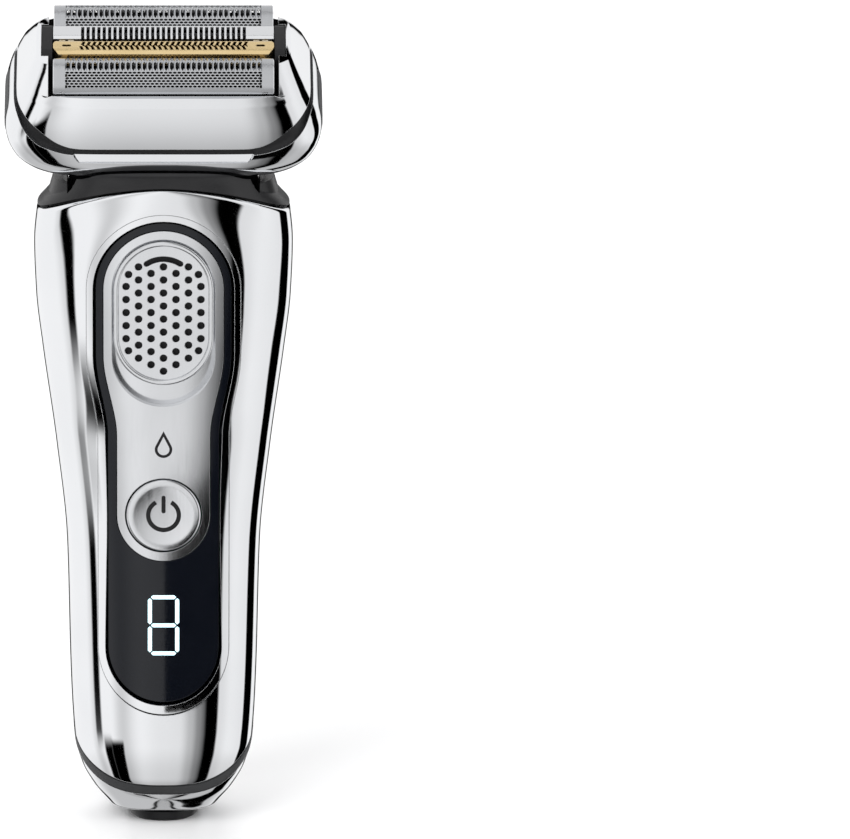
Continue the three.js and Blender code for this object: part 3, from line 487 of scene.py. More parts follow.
def plastic(name, color, light, roughness, bump=0.25, scale=3500, specular=0.5, edge=0.15):
    """Moulded plastic: fine spark texture and slight tone drift."""
    material, tree, shader = new_material(name, color, roughness, specular=specular)
    broad = object_noise(tree, 90, 3)
    blend_colors(tree, broad, shader.inputs["Base Color"], color, light)
    fine = object_noise(tree, scale, 2)
    vary(tree, fine, shader.inputs["Roughness"], roughness - 0.05, roughness + 0.05)
    relief(tree, shader, fine, bump, 0.02, edge)
    return material


def glow(name, color, strength):
    """A lit display segment with slightly uneven brightness."""
    material, tree, shader = new_material(name, color, 0.4)
    shader.inputs["Emission Strength"].default_value = strength
    drift = object_noise(tree, 300, 1)
    blend_colors(tree, drift, shader.inputs["Emission Color"], tuple(c * 0.85 for c in color), color)
    return material


CHROME = metal("chrome", (0.87, 0.88, 0.9), (0.84, 0.85, 0.87), 0.05, bump=0.006, spread=0.015)
SATIN = metal("satin_silver", (0.78, 0.79, 0.81), (0.72, 0.73, 0.75), 0.16,
              grain=(1, 1, 0.06), grain_scale=2500, bump=0.05)
FOIL = metal("foil_steel", (0.6, 0.61, 0.63), (0.52, 0.53, 0.55), 0.16, grain_scale=1500, bump=0.02, edge=0)
STEEL = metal("steel", (0.6, 0.61, 0.63), (0.5, 0.51, 0.53), 0.28,
              grain=(1, 0.1, 1), grain_scale=1500, bump=0.05)
# Near-black metal for the blades: painted shade for the dark under the foils and combs, not the colour of their
# steel.
BLADE_PAINTED_SHADE_METAL = metal("blade_painted_shade", (0.035, 0.035, 0.038), (0.02, 0.02, 0.022), 0.4,
                   grain_scale=1500, bump=0.05)
GOLD = metal("gold", (0.95, 0.76, 0.44), (0.85, 0.64, 0.33), 0.2,
             grain=(0.08, 1, 1), grain_scale=2200, bump=0.05)
COPPER = metal("copper", (0.72, 0.36, 0.2), (0.55, 0.26, 0.14), 0.35,
               grain=(1, 0.05, 1), grain_scale=900, bump=0.3)
BLACK = plastic("black_plastic", (0.009, 0.009, 0.01), (0.014, 0.014, 0.015), 0.42, specular=0.25)
COLLAR = plastic("collar_plastic", (0.012, 0.012, 0.013), (0.018, 0.018, 0.019), 0.36,
                 bump=0.15, specular=0.3)
DARK_GREY = plastic("dark_plastic", (0.03, 0.031, 0.033), (0.042, 0.043, 0.045), 0.5, specular=0.3)
RUBBER = plastic("rubber", (0.014, 0.014, 0.015), (0.022, 0.022, 0.022), 0.75,
                 bump=0.5, scale=2200, specular=0.25)
GLASS = plastic("lens", (0.003, 0.004, 0.007), (0.005, 0.006, 0.009), 0.07, bump=0.005, specular=0.4)
PRINT = plastic("print", (0.012, 0.012, 0.013), (0.018, 0.018, 0.019), 0.5, bump=0.1, specular=0.15, edge=0)
BOARD = plastic("board", (0.02, 0.09, 0.05), (0.03, 0.13, 0.07), 0.5)
CELL = plastic("cell_wrap", (0.04, 0.08, 0.17), (0.05, 0.1, 0.2), 0.35)
LIGHT = glow("display_light", (0.6, 0.92, 1.0), 0.95)

# ---------------------------------------------------------------- camera, light and floor

CAMERA_RISE = math.radians(15)
CAMERA_DISTANCE = 2.0
CAMERA_TARGET = Vector((0, BODY_Y * MM, 0.0794))
CAMERA_LENS = 433.7
CAMERA_SHIFT = 0.3076


def add_camera():
    """The camera straight in front of the panel, a little above."""
    bpy.context.scene.view_settings.view_transform = "Standard"
    data = bpy.data.cameras.new("camera")
    camera = bpy.data.objects.new("camera", data)
    bpy.context.scene.collection.objects.link(camera)
    towards = Vector((0, -math.cos(CAMERA_RISE), math.sin(CAMERA_RISE)))
    camera.location = CAMERA_TARGET + towards * CAMERA_DISTANCE
    camera.rotation_euler = (math.pi / 2 - CAMERA_RISE, 0, 0)
    data.lens = CAMERA_LENS
    data.shift_x = CAMERA_SHIFT
    data.clip_start = 0.01
    bpy.context.scene.camera = camera


def ramp_of(tree, value, stops):
    """A colour ramp with grey stops."""
    ramp = tree.nodes.new("ShaderNodeValToRGB")
    ramp.color_ramp.interpolation = "EASE"
    elements = ramp.color_ramp.elements
    while len(elements) < len(stops):
        elements.new(0.5)
    for element, (position, level) in zip(elements, stops):
        element.position = position
        element.color = (level, level, level, 1)
    tree.links.new(value, ramp.inputs["Fac"])
    return ramp.outputs["Color"]


def math_node(tree, operation, first, second=None):
    """A maths node whose inputs are sockets or numbers."""
    node = tree.nodes.new("ShaderNodeMath")
    node.operation = operation
    for slot, value in zip(node.inputs, (first, second)):
        if value is None:
            continue
        if isinstance(value, (int, float)):
            slot.default_value = value
        else:
            tree.links.new(value, slot)
    return node.outputs["Value"]


def fade(tree, value, low, high):
    """Eases from 0 to 1 between two values."""
    span = tree.nodes.new("ShaderNodeMapRange")
    span.interpolation_type = "SMOOTHSTEP"
    span.inputs["From Min"].default_value = low
    span.inputs["From Max"].default_value = high
    tree.links.new(value, span.inputs["Value"])
    return span.outputs["Result"]


def window(tree, value, low, high, soft):
    """1 between two values and 0 outside them."""
    above = fade(tree, value, low - soft, low + soft)
    below = fade(tree, value, high + soft, high - soft)
    return math_node(tree, "MULTIPLY", above, below)


def add_studio():
    """White room with dark cards on its walls, so that chrome shows streaks; the background is plain."""
    world = bpy.data.worlds.new("studio")
    bpy.context.scene.world = world
    world.use_nodes = True
    tree = world.node_tree
    place = tree.nodes.new("ShaderNodeTexCoord")
    axes = tree.nodes.new("ShaderNodeSeparateXYZ")
    tree.links.new(place.outputs["Generated"], axes.inputs["Vector"])
    forward = math_node(tree, "MULTIPLY", axes.outputs["Y"], -1.0)
    turn = math_node(tree, "ARCTAN2", axes.outputs["X"], forward)
    bearing = math_node(tree, "DEGREES", turn)
    elevation = math_node(tree, "DEGREES", math_node(tree, "ARCSINE", axes.outputs["Z"]))
    around = math_node(tree, "ADD", math_node(tree, "DIVIDE", bearing, 360.0), 0.5)
    light = ramp_of(tree, around, STUDIO_WALLS)
    for low, high, floor, top, soft, strength in STUDIO_CARDS:
        sideways = window(tree, bearing, low, high, soft)
        upright = window(tree, elevation, floor, top, 3 * soft)
        card = math_node(tree, "MULTIPLY", sideways, upright)
        dimming = math_node(tree, "MULTIPLY", card, strength)
        light = math_node(tree, "MULTIPLY", light, math_node(tree, "SUBTRACT", 1.0, dimming))
    background = tree.nodes["Background"]
    tree.links.new(light, background.inputs["Color"])
    plain = tree.nodes.new("ShaderNodeBackground")
    plain.inputs["Color"].default_value = (1, 1, 1, 1)
    path = tree.nodes.new("ShaderNodeLightPath")
    choice = tree.nodes.new("ShaderNodeMixShader")
    tree.links.new(path.outputs["Is Camera Ray"], choice.inputs["Fac"])
    tree.links.new(background.outputs["Background"], choice.inputs[1])
    tree.links.new(plain.outputs["Background"], choice.inputs[2])
    tree.links.new(choice.outputs["Shader"], tree.nodes["World Output"].inputs["Surface"])


# Brightness round the room at bearings in degrees from the front, positive towards +X.
STUDIO_BEARINGS = [(-180, 0.8), (-150, 1.0), (-90, 1.0), (-72, 0.76), (-57, 1.0), (-42, 1.0), (-25, 0.7),
                   (-8, 1.0), (4, 0.86), (12, 0.55), (19, 0.28), (26, 0.12), (46, 0.82), (70, 0.95),
                   (104, 0.9), (148, 1.0), (180, 0.8)]
STUDIO_WALLS = [(bearing / 360 + 0.5, level) for bearing, level in STUDIO_BEARINGS]
# Dark cards: lowest and highest bearing, lowest and highest elevation, softness of their edges, and strength.
STUDIO_CARDS = [(26, 44, -95, 40, 2.0, 1.0), (109, 140, -95, 95, 2.0, 1.0), (-58, -43, -80, -24, 2.0, 1.0),
                (-171, -161, -95, 95, 2.0, 1.0), (-74, -60, -24, 60, 2.5, 1.0),
                (-44, -26, -95, -25, 1.0, 1.0), (160, 170, -95, 95, 2.0, 1.0),
                (-200, 200, -120, -42, 5.0, 0.42)]


# Lights: place in metres and power in watts.
LIGHTS = [("key", (-0.6, -0.8, 1.0), 9), ("fill", (0.8, -0.6, 0.7), 5), ("back", (0.1, 0.9, 0.9), 6)]
LIGHT_SIZE = 0.8
LIGHT_TARGET = Vector((0, 0, 0.08))


def add_lights():
    """Three large soft lights that mirrors don't show: two in front and one behind."""
    for name, place, power in LIGHTS:
        data = bpy.data.lights.new(name, "AREA")
        data.size = LIGHT_SIZE
        data.energy = power
        light = bpy.data.objects.new(name, data)
        bpy.context.scene.collection.objects.link(light)
        light.location = place
        light.visible_glossy = False
        towards = LIGHT_TARGET - light.location
        light.rotation_euler = towards.to_track_quat("-Z", "Y").to_euler()


FLAG_DEPTH = -76
FLAG_CORNERS = [(0.3, 8), (60, 8), (60, 47), (0.3, 47)]


def add_flag():
    """A black card that only mirrors see: it darkens one half of the display lens."""
    points = [Vector((x, FLAG_DEPTH, z)) for x, z in FLAG_CORNERS]
    flag = mesh_object("flag", points, [(0, 1, 2, 3)])
    material, tree, shader = new_material("flag", (0.0, 0.0, 0.0), 1.0, specular=0.0)
    blend_colors(tree, object_noise(tree, 20), shader.inputs["Base Color"], (0, 0, 0), (0.002, 0.002, 0.002))
    flag.data.materials.append(material)
    flag.visible_camera = False
    flag.visible_diffuse = False
    flag.visible_shadow = False


FLOOR_REACH = 1500


def add_floor():
    """A plain pale floor."""
    corners = [(-1, -1), (1, -1), (1, 1), (-1, 1)]
    points = [Vector((x * FLOOR_REACH, y * FLOOR_REACH, 0)) for x, y in corners]
    floor = mesh_object("floor", points, [(0, 1, 2, 3)])
    material, tree, shader = new_material("floor", (0.93, 0.93, 0.935), 0.35)
    drift = object_noise(tree, 3, 2)
    blend_colors(tree, drift, shader.inputs["Base Color"], (0.92, 0.92, 0.925), (0.94, 0.94, 0.945))
    floor.data.materials.append(material)
    floor.visible_glossy = False


def finish_piece(obj, material, body, slot, *nodes, source=None):
    """Smooths a piece, gives it its material and body, and hides the CAD nodes that it stands for; the slot is
    not used.
    """
    smooth(obj, source)
    obj.data.materials.clear()
    obj.data.materials.append(material)
    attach(obj, body)
    if nodes:
        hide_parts(*nodes)
    return obj


# ---------------------------------------------------------------- body


def arch_height(x):
    """Height of the shells' top edge at a distance from the middle."""
    return ARCH_TOP - ARCH_RADIUS + math.sqrt(ARCH_RADIUS ** 2 - x ** 2)


def arch_at(angle):
    """Height at which the arch crosses the body in a direction."""
    height = ARCH_TOP
    for _ in range(4):
        height = arch_height(body_section(angle, height).x)
    return height


ARCHES = {}


HOOD_RISE = 0.85
HOOD_REACH = 8.5


def hood(point):
    """Outward swell round the slider's oval."""
    x, z = point.x, point.z
    centre = BEZEL["top"] - BEZEL["top_radius"]
    low = min(max(z, SHOULDER_HEIGHT), centre)
    distance = math.hypot(x, z - low) - BEZEL["top_radius"]
    rise = HOOD_RISE * (1 - smoothstep(0.0, HOOD_REACH, distance))
    return rise * smoothstep(72, 104, z) if point.y < 0 else 0.0


SHELL_BOTTOM = 5.3
SHELL_TOP_ROUND = 1.1           # radius of the round along the shells' top edge


def shell_point(angle, fraction):
    """Outer surface of the shells between their bottom and the arch, with rows closer together at the top."""
    key = round(angle, 6)
    if key not in ARCHES:
        ARCHES[key] = arch_at(angle)
    drop = (ARCHES[key] - SHELL_BOTTOM) * (1 - fraction) ** 1.35
    spot = body_section(angle, ARCHES[key] - drop, edge_round(SHELL_TOP_ROUND, drop))
    spot.y -= hood(spot)
    return spot


def body_form(inset, low, high, rows=140, around=BODY_AROUND):
    """Plain body form between two heights."""
    return form("form", lambda angle, f: body_section(angle, low + (high - low) * f, inset), rows, around)


def front_region(offset):
    """Everything in front of the parting line."""
    heights = [PARTING[0][0] + (PARTING[-1][0] - PARTING[0][0]) * k / 60 for k in range(61)]
    line = [(profile(PARTING, z) + offset + BODY_Y, z - offset) for z in heights]
    outline = [(-FAR, line[0][1]), *line, (line[-1][0], 150), (-FAR, 150)]
    return prism("front_region", outline, -FAR, FAR, "x")


def under_ring_edge(offset):
    """Everything below the base ring's top edge."""
    low, high = RING_EDGE[0][0], RING_EDGE[-1][0]
    depths = [low + (high - low) * k / 60 for k in range(61)]
    line = [(y + BODY_Y, profile(RING_EDGE, y) + offset) for y in depths]
    outline = [(-FAR, line[0][1]), (-FAR, -5), (line[-1][0], -5), *reversed(line)]
    return prism("under_ring_edge", outline, -FAR, FAR, "x")


def shell_blank():
    """The hollow body form, with the uncut outer form that its normals come from."""
    outer = form("outer", shell_point, 280, BODY_AROUND)
    skin = copy_of(outer, "skin")
    inner = body_form(SHELL_THICKNESS, 4.0, 132, 60, 120)
    return cut(skin, inner), outer


def panel_prism(shape, margin=0.0, near=-40.0, far=-8.0):
    """A panel outline as a solid through the front wall."""
    return prism("panel", keyhole(shape, margin), near, far, "y")


# Back: the rubber grip with its ribs, and the long-hair trimmer's carriage and bay.
GRIP_HALF_WIDTH, GRIP_BOTTOM, GRIP_TOP, GRIP_CORNER = 12, 22, 80, 8
GRIP_RISE, GRIP_SEAT, GRIP_POCKET = 0.45, 0.7, 0.9
RIB_HALF_WIDTH, RIB_WIDTH = 7.5, 1.2
RIB_HEIGHTS = range(30, 74, 3)
TRIMMER_HALF, TRIMMER_BOTTOM, TRIMMER_TOP, TRIMMER_INNER, TRIMMER_OUTER = 14.6, 86.0, 117.5, 14.6, 17.6
BAY_WALL, BAY_BOTTOM, BAY_TOP = 1.3, 84, 119.2
CLEARANCE = 0.3


def grip_prism(margin):
    """The rubber pad's outline as a solid through the back wall."""
    half = GRIP_HALF_WIDTH + margin
    outline = rounded(-half, half, GRIP_BOTTOM - margin, GRIP_TOP + margin, GRIP_CORNER)
    return prism("grip", outline, 2, 40, "y")


def build_shells():
    """Chrome front shell, dark rear shell and its rubber grip."""
    skin, outer = shell_blank()
    front = keep_inside(copy_of(skin, "front_shell_skin"), front_region(0.0))
    cut(front, panel_prism(BEZEL_OPENING))
    finish_piece(front, CHROME, "handle", "chrome", "front_shell", source=outer)

    rear = cut(skin, front_region(CLEARANCE), under_ring_edge(CLEARANCE))
    rear.name = "rear_shell_skin"
    bay = keep_inside(body_form(0.02, 7.0, BAY_TOP), channel_prism(BAY_WALL, BAY_BOTTOM, BAY_TOP))
    cut(bay, front_region(CLEARANCE))
    unite(rear, bay)
    floor = TRIMMER_BOTTOM - CLEARANCE
    mouth = TRIMMER_HALF + CLEARANCE
    cut(rear, channel_prism(CLEARANCE, floor, 150), block("mouth", -mouth, mouth, 15 + BODY_Y, 40, floor, 150))
    cut(rear, cut(grip_prism(0.25), body_form(GRIP_POCKET, 5, 125)))
    finish_piece(rear, DARK_GREY, "handle", "dark_plastic", "rear_shell", source=outer)
    discard(outer)

    pad = body_form(-GRIP_RISE, 5, 125, 260)
    grip = keep_inside(copy_of(pad, "rear_grip_pad"), grip_prism(0.0))
    cut(grip, body_form(GRIP_SEAT, 4, 126))
    wall = body_form(0.0, 5, 125)
    for z in RIB_HEIGHTS:
        rib = prism("rib", rounded(-RIB_HALF_WIDTH, RIB_HALF_WIDTH, z, z + RIB_WIDTH, 0.55, 6), 2, 40, "y")
        cut(grip, cut(rib, copy_of(wall, "rib_wall")))
    discard(wall)
    finish_piece(grip, RUBBER, "handle", "rubber", "rear_grip", source=pad)
    discard(pad)


def channel_outline(margin):
    """Section of the long-hair trimmer's carriage."""
    half, inner, outer = TRIMMER_HALF + margin, TRIMMER_INNER - margin, TRIMMER_OUTER + margin
    crown = [(half * math.sin(a), outer - 2.2 * (1 - math.cos(a)) / (1 - math.cos(1.25)))
             for a in [1.25 - 2.5 * k / 24 for k in range(25)]]
    scale = half / crown[0][0]
    return [(x, y + BODY_Y) for x, y in [(-half, inner), (half, inner)] + [(x * scale, y) for x, y in crown]]


def channel_prism(margin, low, high):
    """The carriage's section as a solid between two heights."""
    return prism("channel", channel_outline(margin), low, high, "z")


def surface_plate(name, outline, inner_inset, source):
    """A plate that follows the body's front, from a source form down to an inset."""
    plate = copy_of(source, name)
    cut(plate, body_form(inner_inset, 2, 131, 80, 120))
    return keep_inside(plate, prism("outline", outline, -60, -6, "y"))


def lip_inset(height):
    """How far the bezel's lower end stands proud of the shell, as a negative inset."""
    return -0.35 * (1 - smoothstep(30, 72, height))


def bezel_surface(angle, fraction):
    """Outer surface that the bezel follows."""
    height = 8 + 119 * fraction
    spot = body_section(angle, height, lip_inset(height))
    spot.y -= hood(spot)
    return spot


def build_panel():
    """Bezel, the black band of painted shade in the shadow gap under it, control panel and the black lens that
    frames it.
    """
    source = form("bezel_source", bezel_surface, 230, BODY_AROUND)
    bezel = surface_plate("bezel_ring", keyhole(BEZEL), 2.2, source)
    cut(bezel, bezel_chamfer())
    finish_piece(bezel, CHROME, "handle", "chrome", "bezel", source=source)
    discard(source)

    hole = prism("hole", circle(0, BUTTON_HEIGHT, BUTTON_RADIUS + 0.25), -60, -6, "y")
    # Painted shade: a black rubber-coloured band behind the bezel's opening, so that the shadow gap under the
    # bezel's lower end reads black.
    front_piece("bezel_gap_painted_shade", keyhole(BEZEL_OPENING, 0.1), (0.3, 1.6), [panel_prism(BEZEL, -0.1)],
                RUBBER, "rubber")
    front_piece("control_panel_face", keyhole(PANEL), (0.3, 3.6), [track_cutter(), hole],
                SATIN, "satin", "control_panel")
    front_piece("display_lens_glass", keyhole(LENS, 0.1), (0.42, 1.7), [panel_prism(PANEL, 0.15)],
                GLASS, "lens", "display_lens")


def front_piece(name, outline, insets, cutters, material, slot, *nodes):
    """A fixed piece that follows the body's front between two insets."""
    source = body_form(insets[0], 5, 129, 160)
    plate = surface_plate(name, outline, insets[1], source)
    cut(plate, *cutters)
    finish_piece(plate, material, "handle", slot, *nodes, source=source)
    discard(source)


def bezel_y(x, z):
    """Depth of the bezel's outer surface."""
    return front_y(x, z, lip_inset(z)) - hood(Vector((x, -1, z)))


def bezel_chamfer():
    """Tapered plug that gives the bezel its sloping inner face."""
    outer, inner = keyhole(BEZEL_HOLE, 0.4), keyhole(BEZEL_HOLE)
    chamfer = loft("chamfer", [[Vector((x, -30.0, z)) for x, z in outer],
                               [Vector((x, bezel_y(x, z) + 0.06, z)) for x, z in outer],
                               [Vector((x, front_y(x, z, 0.6), z)) for x, z in inner],
                               [Vector((x, -5.0, z)) for x, z in inner]])
    recalculate(chamfer)
    return chamfer


def track_cutter():
    """Room for the lock slider: deep at the top, ramping up to the panel at the lower end."""
    low = SLIDER_BOTTOM - SLIDER_TRAVEL - 0.3
    half = SLIDER_HALF_WIDTH + 0.3
    outline = rounded(-half, half, low, SLIDER_TOP + 0.3, half - 0.01, 24)
    room = prism("track", outline, -60, -6, "y")
    return cut(room, body_form(2.4, 60, 128, 60, 120))


# Power button: radius of each ring of its face, and how far it lies behind the body's surface.
BUTTON_RINGS = [(2.0, 0.48), (4.0, 0.4), (5.6, 0.28), (6.75, 0.14), (7.0, 0.2), (7.15, 0.34),
                (BUTTON_RADIUS, 0.6), (BUTTON_RADIUS, 3.0)]
SYMBOL_OUTER, SYMBOL_INNER = 3.4, 2.55


def build_button():
    """Power button: dished satin disc with its symbol."""
    front = front_y(0, BUTTON_HEIGHT)
    rings = [[Vector((x, front + inset, z)) for x, z in circle(0, BUTTON_HEIGHT, radius, 96)]
             for radius, inset in BUTTON_RINGS]
    button = loft("power_button_cap", rings)
    recalculate(button)
    finish_piece(button, SATIN, "power", "satin", "power_button")
    ring = (arc(0, BUTTON_HEIGHT, SYMBOL_OUTER, SYMBOL_OUTER, 120, 420, 60)
            + arc(0, BUTTON_HEIGHT, SYMBOL_INNER, SYMBOL_INNER, 420, 120, 60))
    face = front + 0.46
    symbol = prism("power_symbol", ring, face - 0.08, face + 0.4, "y")
    stroke = rounded(-0.4, 0.4, BUTTON_HEIGHT + 0.4, BUTTON_HEIGHT + 3.9, 0.36, 6)
    bar = prism("power_symbol_bar", stroke, face - 0.1, face + 0.4, "y")
    merge(symbol, bar)
    finish_piece(symbol, PRINT, "power", "black_plastic")


def recalculate(obj):
    """Turns all faces outward."""
    work = bmesh.new()
    work.from_mesh(obj.data)
    bmesh.ops.recalc_face_normals(work, faces=work.faces)
    work.to_mesh(obj.data)
    work.free()


HOLE_RADIUS = 0.7
HOLE_COLUMN = 2.41
HOLE_ROW = 2.6


def slider_holes():
    """Centres of the slider's staggered holes; the outermost are drawn in to follow the oval."""
    middle = (SLIDER_BOTTOM + SLIDER_TOP) / 2
    straight = (SLIDER_TOP - SLIDER_BOTTOM) / 2 - SLIDER_HALF_WIDTH
    reach = SLIDER_HALF_WIDTH - 2.3
    holes = []
    for column in range(-3, 4):
        first = 0.05 if column % 2 else 1.35
        for row in range(-6, 5):
            x, offset = column * HOLE_COLUMN, first + row * HOLE_ROW
            beyond = math.copysign(max(abs(offset) - straight, 0.0), offset)
            distance = math.hypot(x, beyond)
            in_slot = abs(x) < 4 and offset > 10
            if distance < SLIDER_HALF_WIDTH - 1.6 and not in_slot:
                pull = min(reach / distance, 1.0) if distance else 1.0
                holes.append((x * pull, middle + offset - beyond * (1 - pull)))
    return holes


def curve_plate(name, outlines, depth, bevel):
    """A flat plate with holes, standing in the XZ plane, from closed outlines."""
    data = bpy.data.curves.new(name, "CURVE")
    data.dimensions = "2D"
    data.fill_mode = "BOTH"
    data.extrude = depth / 2 * MM
    data.bevel_depth = bevel * MM
    data.bevel_resolution = 2
    data.offset = -bevel * MM
    for outline in outlines:
        spline = data.splines.new("POLY")
        spline.points.add(len(outline) - 1)
        for point, (u, v) in zip(spline.points, outline):
            point.co = (u * MM, v * MM, 0, 1)
        spline.use_cyclic_u = True
    helper = bpy.data.objects.new(name, data)
    bpy.context.scene.collection.objects.link(helper)
    graph = bpy.context.evaluated_depsgraph_get()
    mesh = bpy.data.meshes.new_from_object(helper.evaluated_get(graph))
    bpy.data.objects.remove(helper)
    bpy.data.curves.remove(data)
    mesh.transform(Matrix.Rotation(math.pi / 2, 4, "X"))
    obj = bpy.data.objects.new(name, mesh)
    bpy.context.scene.collection.objects.link(obj)
    return obj


def slot_outline(centre, radius, half, spread):
    """A curved slot with round ends, about a point below it; spread is in degrees each side."""
    lean = math.radians(spread)
    reach, height = radius * math.sin(lean), centre + radius * math.cos(lean)
    over = arc(0, centre, radius + half, radius + half, 90 - spread, 90 + spread, 16)
    left = arc(-reach, height, half, half, 90 + spread, 270 + spread, 8)[1:-1]
    under = arc(0, centre, radius - half, radius - half, 90 + spread, 90 - spread, 16)
    right = arc(reach, height, half, half, 270 - spread, 450 - spread, 8)[1:-1]
    return over + left + under + right


def slider_oval(shrink):
    """The slider's outline, drawn in all round by an amount."""
    half = SLIDER_HALF_WIDTH - shrink
    return rounded(-half, half, SLIDER_BOTTOM + shrink, SLIDER_TOP - shrink, half - 0.01, 32)


def build_slider():
    """Perforated lock slider in its raised rim, with the grip slot at its top."""
    face = front_y(0, 106) + 0.9
    outline = slider_oval(0.0)
    holes = [circle(x, z, HOLE_RADIUS, 20) for x, z in slider_holes()]
    notch = slot_outline(SLIDER_TOP - 9.6, 6.0, 0.52, 33)
    plate = curve_plate("lock_slider_plate", [outline, notch, *holes], 0.9, 0.09)
    plate.data.transform(Matrix.Translation(Vector((0, face + 0.55, 0)) * MM))
    rim = curve_plate("slider_rim", [outline, slider_oval(1.0)], 0.7, 0.33)
    rim.data.transform(Matrix.Translation(Vector((0, face + 0.02, 0)) * MM))
    merge(plate, rim)
    finish_piece(plate, SATIN, "head_lock", "satin", "lock_slider")
    inner = rounded(-8.6, 8.6, SLIDER_BOTTOM + 1, SLIDER_TOP - 1, 8.59, 24)
    backing = prism("slider_backing", inner, face + 1.15, face + 1.35, "y")
    finish_piece(backing, BLACK, "head_lock", "black_plastic")


def segment(cx, cz, length, width, upright):
    """One bar of a seven-segment digit as a pointed outline."""
    half, w = length / 2, width / 2
    flat = [(-half, 0), (-half + w, -w), (half - w, -w), (half, 0), (half - w, w), (-half + w, w)]
    return [(cx + v, cz + u) if upright else (cx + u, cz + v) for u, v in flat]


DIGIT_CENTRE, DIGIT_TALL, DIGIT_WIDE, DIGIT_STROKE = 42.0, 12.1, 6.1, 0.78


def build_display():
    """Seven lit bars, all on, behind the lens."""
    stroke = DIGIT_STROKE
    half_tall, half_wide = (DIGIT_TALL - stroke) / 2, (DIGIT_WIDE - stroke) / 2
    bars = [segment(0, DIGIT_CENTRE + k * half_tall, DIGIT_WIDE - 1.5 * stroke, stroke, False)
            for k in (-1, 0, 1)]
    bars += [segment(side * half_wide, DIGIT_CENTRE + k * half_tall / 2, half_tall - 0.5 * stroke, stroke, True)
             for side in (-1, 1) for k in (-1, 1)]
    pieces = [decal("display_digit", bar, 0.42) for bar in bars]
    digit = merge(pieces[0], *pieces[1:])
    finish_piece(digit, LIGHT, "handle", "lens")


def decal(name, outline, inset, lift=0.04, depth=0.3):
    """A thin inlaid mark that follows the front surface."""
    count = len(outline)
    points = [Vector((x, front_y(x, z, inset) + deep, z)) for deep in (-lift, depth) for x, z in outline]
    faces = [tuple(range(count)), tuple(reversed(range(count, 2 * count)))]
    faces += [(k, k + count, (k + 1) % count + count, (k + 1) % count) for k in range(count)]
    mark = mesh_object(name, points, faces)
    recalculate(mark)
    return mark


def droplet(z, radius, tip):
    """Outline of a water drop."""
    round_part = arc(0, z, radius, radius, 150, 390, 30)
    return round_part + [(0.0, z + tip)]


DROPLET_HEIGHT = 77.6


def build_marks():
    """A generic droplet that says the body may be rinsed."""
    mark = decal("droplet_mark", droplet(DROPLET_HEIGHT, 1.7, 3.7), 0.3)
    cut(mark, prism("inside", droplet(DROPLET_HEIGHT, 1.15, 2.6), -40, 0, "y"))
    finish_piece(mark, PRINT, "handle", "black_plastic")


def build_base():
    """Chrome base ring, a cup whose edge rises towards the back, and the black foot with its inlet."""
    ring_form = form("ring_form", ring_point, 90, BODY_AROUND)
    ring = copy_of(ring_form, "base_ring_band")
    cut(ring, body_form(SHELL_THICKNESS, RING_FLOOR, 26, 40, 120))
    keep_inside(ring, under_ring_edge(0.0))
    cut(ring, prism("socket_bay", rounded(-6.2, 6.2, -4.2 + BODY_Y, 4.2 + BODY_Y, 1.5), 0, 20, "z"))
    finish_piece(ring, CHROME, "handle", "chrome", "base_ring", source=ring_form)
    discard(ring_form)
    foot_form = form("foot_form", foot_point, 24, BODY_AROUND)
    foot = copy_of(foot_form, "foot_cap")
    cut(foot, prism("inlet", rounded(-4.8, 4.8, -2.8 + BODY_Y, 2.8 + BODY_Y, 1.2), -2, 6, "z"))
    finish_piece(foot, BLACK, "handle", "black_plastic", "foot", source=foot_form)
    discard(foot_form)


def ring_point(angle, fraction):
    """Base ring surface, with a small round at its lower edge."""
    rise = RING_HEIGHT * fraction ** 1.4
    return body_section(angle, RING_BOTTOM + rise, edge_round(RING_ROUND, rise))


def foot_point(angle, fraction):
    """Foot surface with a small round at the floor."""
    height = FOOT_DEPTH[-1][0] * fraction
    inset = edge_round(FOOT_ROUND, height)
    half_width, depth = profile(FOOT_HALF_WIDTH, height) - inset, profile(FOOT_DEPTH, height) - inset
    x, y = superellipse(angle, half_width, depth, FOOT_SQUARENESS)
    return Vector((x, y + BODY_Y, height))


# ---------------------------------------------------------------- neck


COLLAR_HALF_WIDTH = [(119.5, 25), (123.4, 24.5), (125, 23.2), (129.3, 19.6), (132.6, 18.9)]
COLLAR_FRONT = [(119.5, 16.4), (127, 15.4), (129.6, 14.9), (131.3, 13.9), (132.6, 10)]
COLLAR_BACK = [(119.5, 17.2), (129.3, 16.7), (131, 16), (132.6, 14.8)]


def collar_point(angle, fraction):
    """Surface of the collar's cap."""
    low, high = COLLAR_FRONT[0][0], COLLAR_FRONT[-1][0]
    return section(angle, low + (high - low) * fraction, COLLAR_HALF_WIDTH, COLLAR_FRONT, COLLAR_BACK)


def swivel_rod(name, radius, low, high, count=64):
    """A cylinder on the swivel axis."""
    return prism(name, circle(SWIVEL.y, SWIVEL.z, radius, count), low, high, "x")


def forward_swing():
    """The space that the head's front edge needs when it swings fully forward."""
    tilt = TILT + math.radians(joint("head_swivel")["range_deg"][1])
    edge = []
    for height in [-23.4, -23.1, -22.8, -22.4, -22, -20.5, -18.5]:
        across = -(profile(HEAD_DEPTH, height) + 0.3) - SWIVEL_IN_HEAD.y
        up = height - 0.3 - SWIVEL_IN_HEAD.z
        edge.append((SWIVEL.y + across * math.cos(tilt) - up * math.sin(tilt),
                     SWIVEL.z + across * math.sin(tilt) + up * math.cos(tilt)))
    outline = [(SWIVEL.y, SWIVEL.z), *edge, (-40, edge[-1][1]), (-40, 150), (SWIVEL.y, 150)]
    return prism("swing", outline, -40, 40, "x")


